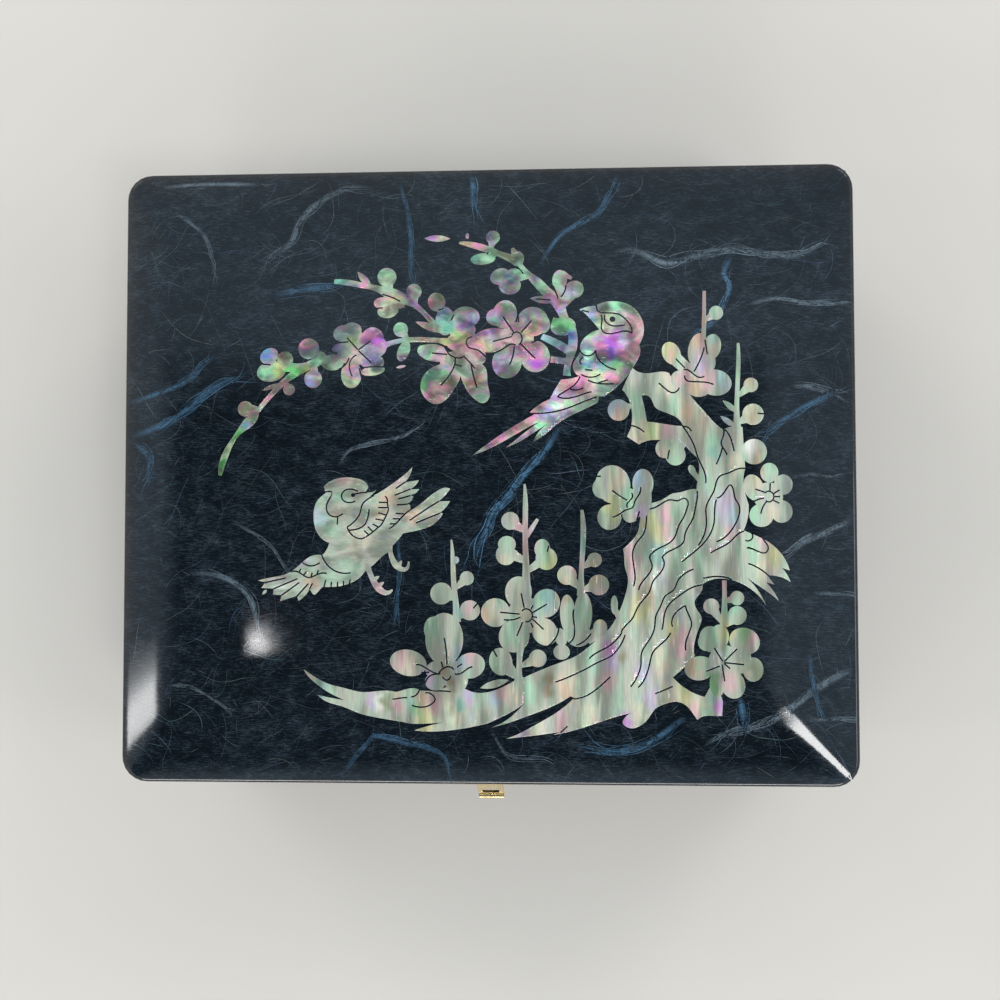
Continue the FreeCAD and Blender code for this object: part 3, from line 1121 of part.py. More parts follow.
def plum_branches():
    """Blossoms, buds and stems beside the upper trunk."""
    pieces = [
        petal(50.4, 32, 2.4, 3.2, 25),
        stem((51.4, 30.6, 3.6), (55.4, 26.8, 3.2)),
        petal(57.3, 33, 2.4, 4.4, -12),
        petal(61.2, 33.6, 2.4, 3.5, -12),
        petal(59, 29.6, 3.2, 3.6),
        petal(62, 24, 4.4, 3.5, -10),
        petal(57.4, 22.8, 3.4, 2.6, -10),
        petal(56.6, 26.6, 3.2, 3.0),
        petal(52.4, 25, 2.2, 2.3),
        stem((59.3, 48.8, 0.9), (59.2, 42, 1.1), (59, 35.5, 1.3)),
        stem((68.2, 34.6, 0.7), (68.1, 26, 1.2), (67.7, 18, 1.3), (67.8, 11.5, 2.2)),
        leaf((64, 19.2), (68, 15.8), 1.5),
        leaf((63.3, 15), (67.4, 12), 1.5),
        petal(48.3, 6.3, 2.3, 2.5),
        petal(51.3, 4.6, 2.7, 2.8),
        stem((50.8, 6, 4.4), (53, 8.4, 3.4)),
        petal(34.6, -3.2, 4.6, 5.2, 15),
        petal(31.7, -4.2, 2.6, 2.8),
        petal(33.6, -12, 3.2, 3.4),
        petal(42.6, -3, 2.8, 3.9),
        petal(39.4, -11.5, 2.2, 1.9, 20),
        petal(38.4, -7.8, 3.8, 3.6),
        petal(36.2, -9.8, 3.0, 2.6, 40),
        stem((43, -5.4, 3.6), (43, -8.4, 3.4), (42, -12, 2.2)),
        petal(76.2, -0.2, 2.4, 2.6),
        petal(79.9, -3.4, 2.5, 2.7),
        petal(79.4, -10.6, 2.9, 3.0),
        petal(74, -11.6, 3.2, 3.1),
        petal(72, -4.2, 2.6, 3.6, 20),
        petal(75.9, -6.6, 3.9, 3.8),
        *bud((62.4, 42.8), 1.9, (59.4, 40.8)),
        *bud((71.5, 23.3), 1.95, (68.2, 20.4)),
        *bud((72, 15.4), 2.85, (68.2, 13.2)),
        *bud((72.2, 5.4), 3.4, (69.2, 3.8)),
        *bud((36.2, 16.8), 2.9, (39.6, 18)),
    ]
    cuts = saw_cuts(
        [(51.6, 30.5), (54, 28)],
        [(59.2, 33.5), (58, 30), (56.4, 27)],
        [(53.9, 26), (54.4, 24.7), (56.5, 24.3), (58.5, 24.2), (61.6, 23.5)],
        [(53.6, 27.6), (55.5, 27), (56.8, 25.9), (59.2, 25.7)],
        [(59.4, 35.6), (60, 31.6)],
        [(75.3, 15.5), (73.2, 15.7)],
        [(49.7, 6), (49.2, 3.6)],
        [(34.4, -4.8), (36.4, -6.3), (38.4, -7.5)],
        [(39.6, -5.5), (39.4, -7.2), (38.5, -8.2), (38.4, -9.5)],
        [(42, -3.9), (41.4, -6.2), (40.4, -7.8), (39.8, -9.4), (38.2, -10), (36.4, -11.1), (34.4, -12)],
        [(30, -1), (31.4, -1)],
        [(36.9, -11.2), (37.2, -12.6), (38.2, -13.6)],
        [(41.6, -10.4), (40.9, -12.8)],
        [(72.4, -4.6), (75, -5.5)],
        [(76.4, -3), (76.3, -5.3)],
        [(78.9, -4.8), (77.3, -5.8)],
        [(79, -6.6), (77.4, -6.6)],
        [(78.8, -8.4), (77.2, -7.6)],
        [(70.6, -8.9), (72.8, -7.5), (74.7, -7)],
        [(73.8, -11.2), (74.6, -9), (75.4, -7.9)],
        [(75, -5.7), (76.2, -5.2), (77.2, -6), (77.2, -7.2), (76.2, -8), (75.2, -7.6)],
    )
    return pieces, cuts


def lower_blossoms():
    """Blossoms that rise from the roots, and the one beside the trunk."""
    pieces = [
        petal(-20.5, -51, 5.0, 3.5, -12),
        petal(-10.8, -44.6, 5.1, 7.0),
        petal(-13.7, -42, 2.6, 3.4),
        petal(-3.8, -51.7, 4.0, 3.4, 15),
        petal(-13.2, -56, 2.8, 2.4),
        petal(-10.5, -53, 5.4, 3.0),
        petal(-7.6, -55.4, 3.2, 3.6),
        stem((-8.9, -17.9, 0.4), (-8.5, -23, 1.2), (-8.2, -30, 1.4), (-7.6, -36, 1.7), (-7.5, -40, 2.4)),
        petal(-7.6, -23.4, 0.8, 0.95),
        petal(4.4, -50.6, 3.1, 3.7, 12),
        stem((5.6, -51.8, 4.2), (9, -54.8, 1.6)),
        leaf((-1.2, -57.7), (6.6, -55.5), 2.0),
        petal(9.2, -32, 3.6, 4.2),
        petal(16.6, -35, 3.6, 3.9, -30),
        petal(16.2, -42.6, 3.3, 3.8, 30),
        petal(8, -43.8, 4.1, 4.4, -20),
        petal(3, -37.5, 3.9, 3.85),
        petal(11.2, -38.2, 5.0, 4.8),
        stem((10.9, -3, 0.5), (11.1, -9, 1.4), (11, -16, 1.4), (11.2, -24, 1.7), (11.2, -30, 2.4)),
        stem((11.3, -17.2, 1.3), (13, -14.6, 1.2), (14.4, -12.4, 0.8)),
        petal(6.1, -19.2, 2.4, 2.25),
        petal(5.8, -22, 2.7, 2.8),
        stem((7, -21.6, 3.2), (11, -23.8, 1.4)),
        petal(15.6, -20.4, 2.1, 2.6),
        petal(16.7, -23.1, 2.9, 3.0),
        stem((15, -24, 2.4), (11.2, -26.6, 1.3)),
        stem((9.8, -46, 2.4), (9.4, -50, 1.5), (9.3, -55.4, 2.0)),
        petal(22.4, -38, 2.1, 5.3, 3),
        petal(26.5, -37.6, 2.4, 5.5),
        petal(25.2, -43.4, 3.4, 3.2),
        petal(20.4, -44, 1.7, 2.5, 20),
        petal(31, -41.6, 1.9, 2.3),
        stem((31, -42.4, 3.2), (27.4, -44.6, 3.0)),
        petal(20.7, -48, 2.2, 2.05),
        stem((26.2, -10, 0.8), (26.6, -17, 1.5), (26.2, -24, 1.3), (26, -33, 2.4)),
        petal(60.3, -44.5, 3.0, 3.5, 15),
        petal(59, -45.3, 2.1, 2.3),
        petal(62.6, -43.8, 2.5, 3.2),
        petal(69.2, -45, 4.1, 3.5, -20),
        petal(71.4, -52.5, 2.7, 3.2),
        petal(66, -56.4, 3.2, 3.9, 20),
        petal(57.3, -52.2, 4.0, 3.2, 10),
        petal(62, -56.2, 2.1, 3.5),
        petal(63.8, -50.6, 4.2, 4.6),
        petal(68, -50, 3.0, 3.6),
        stem((64, -28.9, 1.2), (64, -34, 1.3), (63.8, -41, 2.4)),
        *bud((-4.7, -28.3), 1.9, (-7.8, -31)),
        *bud((-11.6, -32.4), 2.95, (-8, -33.8)),
        *bud((-3.9, -36.9), 2.7, (-7.4, -38.8)),
        *bud((7, -12.9), 2.4, (11, -15.8)),
        *bud((14.3, -49.7), 2.35, (9.8, -51.8)),
        *bud((29.6, -23.4), 1.95, (26.2, -25.4)),
        *bud((22.2, -27.5), 2.6, (25.6, -31)),
        *bud((30.7, -30.1), 2.75, (26.4, -31.4)),
        *bud((67.3, -33.6), 1.9, (64.2, -34.4)),
        *bud((60.5, -35.8), 2.1, (63.2, -40)),
        *bud((67.3, -38.2), 2.5, (64, -41)),
    ]
    cuts = saw_cuts(
        [(-10.8, -44.3), (-10.3, -47.5), (-10.1, -51.4)],
        [(-18.5, -51.4), (-16, -52.2), (-13.6, -53.6), (-11.8, -53.8)],
        [(-17, -53.6), (-14.8, -53.5)],
        [(-11.6, -50.6), (-11.2, -52.2)],
        [(-12.4, -54.2), (-11.4, -52.7), (-9.6, -52), (-8.2, -52.8)],
        [(-8, -53.9), (-6.2, -53.7), (-4.6, -52.6), (-3.2, -52)],
        [(-7.4, -52.2), (-6, -51.2)],
        [(-16, -56.6), (-14.8, -54.6), (-12.6, -54)],
        [(-11.3, -54.7), (-10, -55.6), (-9, -54.5)],
        [(-1.6, -34.8), (-3, -36.4)],
        [(2, -46.8), (3.4, -49.3)],
        [(10.1, -37.1), (11.2, -36.5), (12.5, -37.1), (12.9, -38.4), (12.3, -39.6), (11, -39.9)],
        [(9.9, -32.3), (10.7, -36.2)],
        [(16.8, -35.2), (13, -37.5)],
        [(15.9, -42), (12.9, -39.2)],
        [(8.7, -43.8), (10.3, -40)],
        [(4.2, -37.4), (9.5, -37.9)],
        [(5.2, -39.4), (7.5, -39.4), (9.7, -38.7)],
        [(13.1, -35.5), (12.5, -36.6)],
        [(14.2, -38.8), (13.1, -38.6)],
        [(13.1, -41.5), (12.4, -40.1)],
        [(19.9, -40.8), (19.7, -43), (18.4, -45.2), (17, -46.5)],
        [(24, -36.6), (24.1, -41), (23.8, -44.4), (22.4, -45.8)],
        [(28.6, -43), (26.6, -45.2), (24.6, -46.2)],
        [(17.4, -19.6), (16.9, -21.2)],
        [(63.4, -50.4), (61.2, -46.8)],
        [(63.8, -50.4), (67.2, -47)],
        [(63.8, -50.7), (69, -51.2)],
        [(63.8, -50.9), (65.3, -52.3)],
        [(63.2, -51.2), (63.9, -55.6)],
        [(62.6, -51.6), (59, -53)],
    )
    return pieces, cuts


def plum_roots():
    """Long root that runs to the left."""
    pieces = [outline(
        [(-48.9, -52.8), (-47.4, -53.9), (-45.8, -54.9), (-42.5, -56.6), (-38, -57.8), (-33, -58.9),
         (-27, -58.5),
         (-24, -58.8)],
        [(-24, -58.8), (-21.5, -58.2), (-19, -57.8), (-17.4, -58.4)],
        [(-17.4, -58.4), (-13.5, -58.6)],
        [(-13.5, -58.6), (-9, -57.4), (-5, -58)],
        [(-5, -58), (-1, -59), (3, -58.2), (7.9, -55.8)],
        [(7.9, -55.8), (8.6, -54.2)],
        [(8.6, -54.2), (10.7, -54.8)],
        [(10.7, -54.8), (10.6, -61.8)],
        [(10.6, -61.8), (8, -63.6), (4.5, -65.5), (0.8, -67.2)],
        [(0.8, -67.2), (-4, -68.3), (-9, -69.1), (-14, -69.5), (-19, -69.2)],
        [(-19, -69.2), (-16, -68.2), (-10.6, -66.9)],
        [(-10.6, -66.9), (-15, -67.3), (-19.6, -67.4)],
        [(-19.6, -67.4), (-26, -66.3), (-30, -65.6), (-34, -64.6), (-38.5, -62.8), (-42.5, -61.6),
         (-45.2, -59.7)],
        [(-45.2, -59.7), (-41, -60.6), (-37.8, -61.1)],
        [(-37.8, -61.1), (-40.5, -59.9), (-43, -58.5), (-46, -56.3), (-47.8, -54.6), (-48.9, -52.8)],
    )]
    cuts = saw_cuts(
        [(-24.8, -60.8), (-22, -60.4), (-20.8, -60.3)],
        [(-19.8, -60.2), (-18.4, -59.6), (-17.5, -58.3)],
        [(-19.6, -62.4), (-17, -62.9), (-14.5, -62.2), (-13.3, -60.8), (-14, -59.6), (-16, -59.1)],
        [(-13.6, -58.5), (-11.6, -58.5), (-9, -58.7)],
    )
    return pieces, cuts


def lay_shell(layer):
    """Cuts each motif out of a thin crowned sheet of shell; a motif stops where an earlier one lies."""
    motifs = [
        ("shell_perched_bird", perched_bird),
        ("shell_flying_bird", flying_bird),
        ("shell_left_spray", left_spray),
        ("shell_top_spray", top_spray),
        ("shell_plum_branches", plum_branches),
        ("shell_lower_blossoms", lower_blossoms),
        ("shell_plum_roots", plum_roots),
        ("shell_plum_trunk", plum_trunk),
    ]
    depth = value("lid_crest") * 2
    laid = []
    for name, draw in motifs:
        pieces, cuts = draw()
        flat = pieces[0]
        if len(pieces) > 1:
            flat = Part.makeShell(flat.multiFuse(pieces[1:]).Faces).removeSplitter()
        near = [other for other in laid if other.BoundBox.intersect(flat.BoundBox)]
        chips = [face for face in flat.cut(near + cuts).Faces if face.Area > SMALLEST_FLAKE]
        laid.append(flat)
        solids = []
        for face in chips:
            solids += face.extrude(Vector(0, 0, depth)).common(layer).Solids
        motif = doc.addObject("Part::Feature", name)
        motif.Shape = Part.Compound(solids)
        keep(motif, name)


def build_inlay(lid_wrap):
    """Thin sheet that follows the lid's crown, and the shell motifs cut from it."""
    over = crowned_block("shell_over", "0", "rail_top", "shell")
    sheet_of_shell = cut("shell_sheet", over, [lid_wrap])
    doc.recompute()
    lay_shell(sheet_of_shell.Shape)


def write_parts():
    """Checks every object, then writes one file per sub-part."""
    doc.recompute()
    failed = [thing.Name for thing in doc.Objects if {"Invalid", "Error"} & set(thing.State)]
    for thing in nodes:
        if thing.Shape.isNull() or not thing.Shape.isValid() or not thing.Shape.Solids:
            failed.append(thing.Label)
    if failed:
        raise RuntimeError("not built: " + ", ".join(failed))
    os.makedirs("parts", exist_ok=True)
    for thing in nodes:
        thing.Shape.exportStep("parts/%s.step" % thing.Label)


build_base()
build_body()
wrap_form = build_lid()
build_lining()
build_mirror()
build_hinges()
build_clasp()
build_inlay(wrap_form)
write_parts()
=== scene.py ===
import json
import math
import random

import bmesh
import bpy
from bpy.props import FloatProperty, FloatVectorProperty, IntProperty, PointerProperty
from mathutils import Matrix, Vector, noise


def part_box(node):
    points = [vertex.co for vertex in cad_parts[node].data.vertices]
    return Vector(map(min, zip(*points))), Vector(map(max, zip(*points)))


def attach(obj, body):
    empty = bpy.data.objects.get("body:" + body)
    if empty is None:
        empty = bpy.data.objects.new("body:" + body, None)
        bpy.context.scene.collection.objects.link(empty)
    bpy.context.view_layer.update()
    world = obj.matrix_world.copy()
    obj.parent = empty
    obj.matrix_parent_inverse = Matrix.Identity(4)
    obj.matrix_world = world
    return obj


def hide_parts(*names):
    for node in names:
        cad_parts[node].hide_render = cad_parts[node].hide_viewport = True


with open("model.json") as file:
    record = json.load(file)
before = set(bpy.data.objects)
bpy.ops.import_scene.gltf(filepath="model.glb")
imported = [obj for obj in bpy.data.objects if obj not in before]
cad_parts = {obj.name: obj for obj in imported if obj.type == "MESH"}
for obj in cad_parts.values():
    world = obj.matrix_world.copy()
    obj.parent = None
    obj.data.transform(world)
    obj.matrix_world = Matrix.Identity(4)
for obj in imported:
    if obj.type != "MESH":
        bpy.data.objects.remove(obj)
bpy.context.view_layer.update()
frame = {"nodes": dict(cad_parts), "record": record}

bl_info = {
    "name": "Shell inlay keepsake box",
    "version": (1, 0, 0),
    "blender": (4, 5, 0),
    "location": "View3D > Sidebar > Keepsake box",
    "description": "Builds the looks of a lacquered box with shell laid on its lid",
    "category": "Add Mesh",
}

MM = 0.001
PER_METRE = 1000


def node_box(name):
    """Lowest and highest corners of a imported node, in millimetres."""
    low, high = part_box(name)
    return low * PER_METRE, high * PER_METRE


LID_LOW, LID_HIGH = node_box("lid_skin")
BODY_LOW, BODY_HIGH = node_box("body_skin")
HALF_LENGTH, HALF_WIDTH = LID_HIGH.x, LID_HIGH.y
HINGE = next(joint for joint in frame["record"]["behaviour"]["joints"] if joint["name"] == "lid_hinge")
HINGE_Y, HINGE_Z = (PER_METRE * number for number in HINGE["pos_m"][1:])

# Lid's edge: the angle in degrees where each of its arcs ends, and its radius as a share of the rim rounding
RIM_ARCS = ((24, 0.7), (33, 3.4), (90, 0.7))
# Rounded edges of the walls' skin: size in millimetres, and its steps out and down as shares of that
SKIN_EDGE = 0.4
SKIN_STEPS = [(0.5, 0.13), (0.37, 0.37), (0.13, 0.5)]
# Fibres, in millimetres: room at the lid's edge for strands and for hairs, height that the lid's stop takes from the
# back, place of the walls' paper on its sheet, and how far each strip lies over the one before
STRAND_ROOM, HAIR_ROOM, STOP_ROOM = 1.1, 1.6, 6.5
WALL_PAPER_SHIFT = 260
FIBRE_STEP, FIBRE_STEPS = 0.0001, 60
FIBRE_SEED, TINT_SEED = 11, 7
# Strands and hairs on the lid's sides and on the walls, and the heights over the lid's edge where the lid's lie
LID_SIDE_FIBRES, WALL_FIBRES = (24, 400), (46, 1300)
SIDE_FROM, SIDE_TO = 1, 18
# Shell tints: waver of the spots' borders and its scale, weight of the base tint, stretch along upright grain and how
# fast a spot fades
WAVER, WAVER_SCALE, BASE_WEIGHT, GRAIN_STRETCH, SPOT_FADE = 1.2, 0.45, 0.12, 0.62, 2.2
# Felt, in millimetres: its corners and the rounding of its edges
FELT_CORNER, FELT_ROUND = 5, 0.3
# Mirror frame, in millimetres: lap over the glass, room in the rebate and rounding of its front
FRAME_LAP, FRAME_ROOM, FRAME_ROUND = 2.0, 0.02, 0.9
# Velvet cards, in millimetres: distance of the cuts in their faces, then the ring bed's rounding and swell
CARD_CUT = 6
BED_ROUND, BED_PUFF = 3.0, 0.4
# Ring rolls: share of their radius before filling and at most, slack of the velvet and how it differs, length held at
# the ends, longest move and rounding of the ends in millimetres, and frames of the simulation
ROLL_START, ROLL_MOST = 0.985, 1.03
ROLL_SLACK, SLACK_RANGE = 0.045, 0.012
ROLL_HELD, ROLL_CAP, ROLL_ROUND = 2.4, 0.9, 2.2
CLOTH_FRAMES = 20
# Stage, in metres: half of the table, the point that the lamps face, and the camera's place, aim and upward way
TABLE_HALF = 6
LAMP_AIM = (0, 0, 0.06)
CAMERA_PLACE = (0.02227, -0.02094, 0.42044)
CAMERA_AIM, CAMERA_UP = (-0.0531, 0.0403, -0.9978), (0.0037, 0.9992, 0.0402)
# Lamps: name, way to it, distance, size, and power as a share of the key light
LAMPS = [
    ("key_strip", (0.3444, -0.3136, 0.8849), 5.07, (0.56, 1.1), 1.45),
    ("low_front", (0, -0.92, 0.38), 3.9, (3.6, 0.28), 1.6),
    ("fill_back_left", (-0.6, 0.58, 0.55), 4.0, (1.3, 1.3), 0.65),
    ("fill_back_right", (0.55, 0.63, 0.55), 4.0, (1.3, 1.3), 0.95),
    ("fill_front_left", (-0.68, -0.5, 0.54), 4.0, (1.3, 1.3), 0.4),
    ("fill_right", (0.8, -0.1, 0.58), 4.0, (1.3, 1.3), 0.65),
]
# Left window, in metres: sideways place and height over the box, height of its panes and where the first begins,
# then width and light of each pane
WINDOW_ASIDE, WINDOW_HIGH, PANE_HIGH, PANES_FROM = -1.022, 1.186, 0.22, -0.28
PANES = ((0.058, 14.7), (0.011, 8.5), (0.015, 4.6), (0.018, 2.3), (0.016, 1.0))
# Room: light by height, then the dim part's place and level, and where its sides begin and end
ROOM_TONES = [(0.0, (0.56, 0.555, 0.545)), (0.25, (0.74, 0.735, 0.725)), (0.42, (0.95, 0.94, 0.93)),
              (0.7, (0.95, 0.94, 0.93)), (0.78, (0.55, 0.65, 0.74)), (0.84, (0.44, 0.56, 0.67)),
              (1.0, (0.44, 0.56, 0.67))]
DIM_PLACE, DIM_LEVEL = (0.135, 0.175, 0), 0.07
DIM_SIDES = (("X", 0.345, 0.445), ("Y", 0.28, 0.355))


def shade(code):
    """A hexadecimal screen colour as the linear numbers that shaders use."""
    parts = [int(code[place:place + 2], 16) / 255 for place in (1, 3, 5)]
    return tuple(part / 12.92 if part <= 0.04045 else ((part + 0.055) / 1.055) ** 2.4 for part in parts)


# Tints of the shell
TINTS = {
    "silver": "#a5b0a3", "cream": "#cfcab2", "mint": "#98c7ab", "teal": "#5fa79f", "sky": "#9cc0da",
    "blue": "#3d83c2", "lilac": "#b5a0cd", "violet": "#6a4d9e", "magenta": "#b24dc2", "pink": "#d9a3b4",
    "rose": "#b57c8c", "peach": "#d7b092", "yellow": "#cbce88", "green": "#5fba68", "olive": "#74784f",
    "slate": "#596370", "smoke": "#6d7872", "white": "#e4e9e4", "tan": "#8c7752", "amber": "#885d20",
}

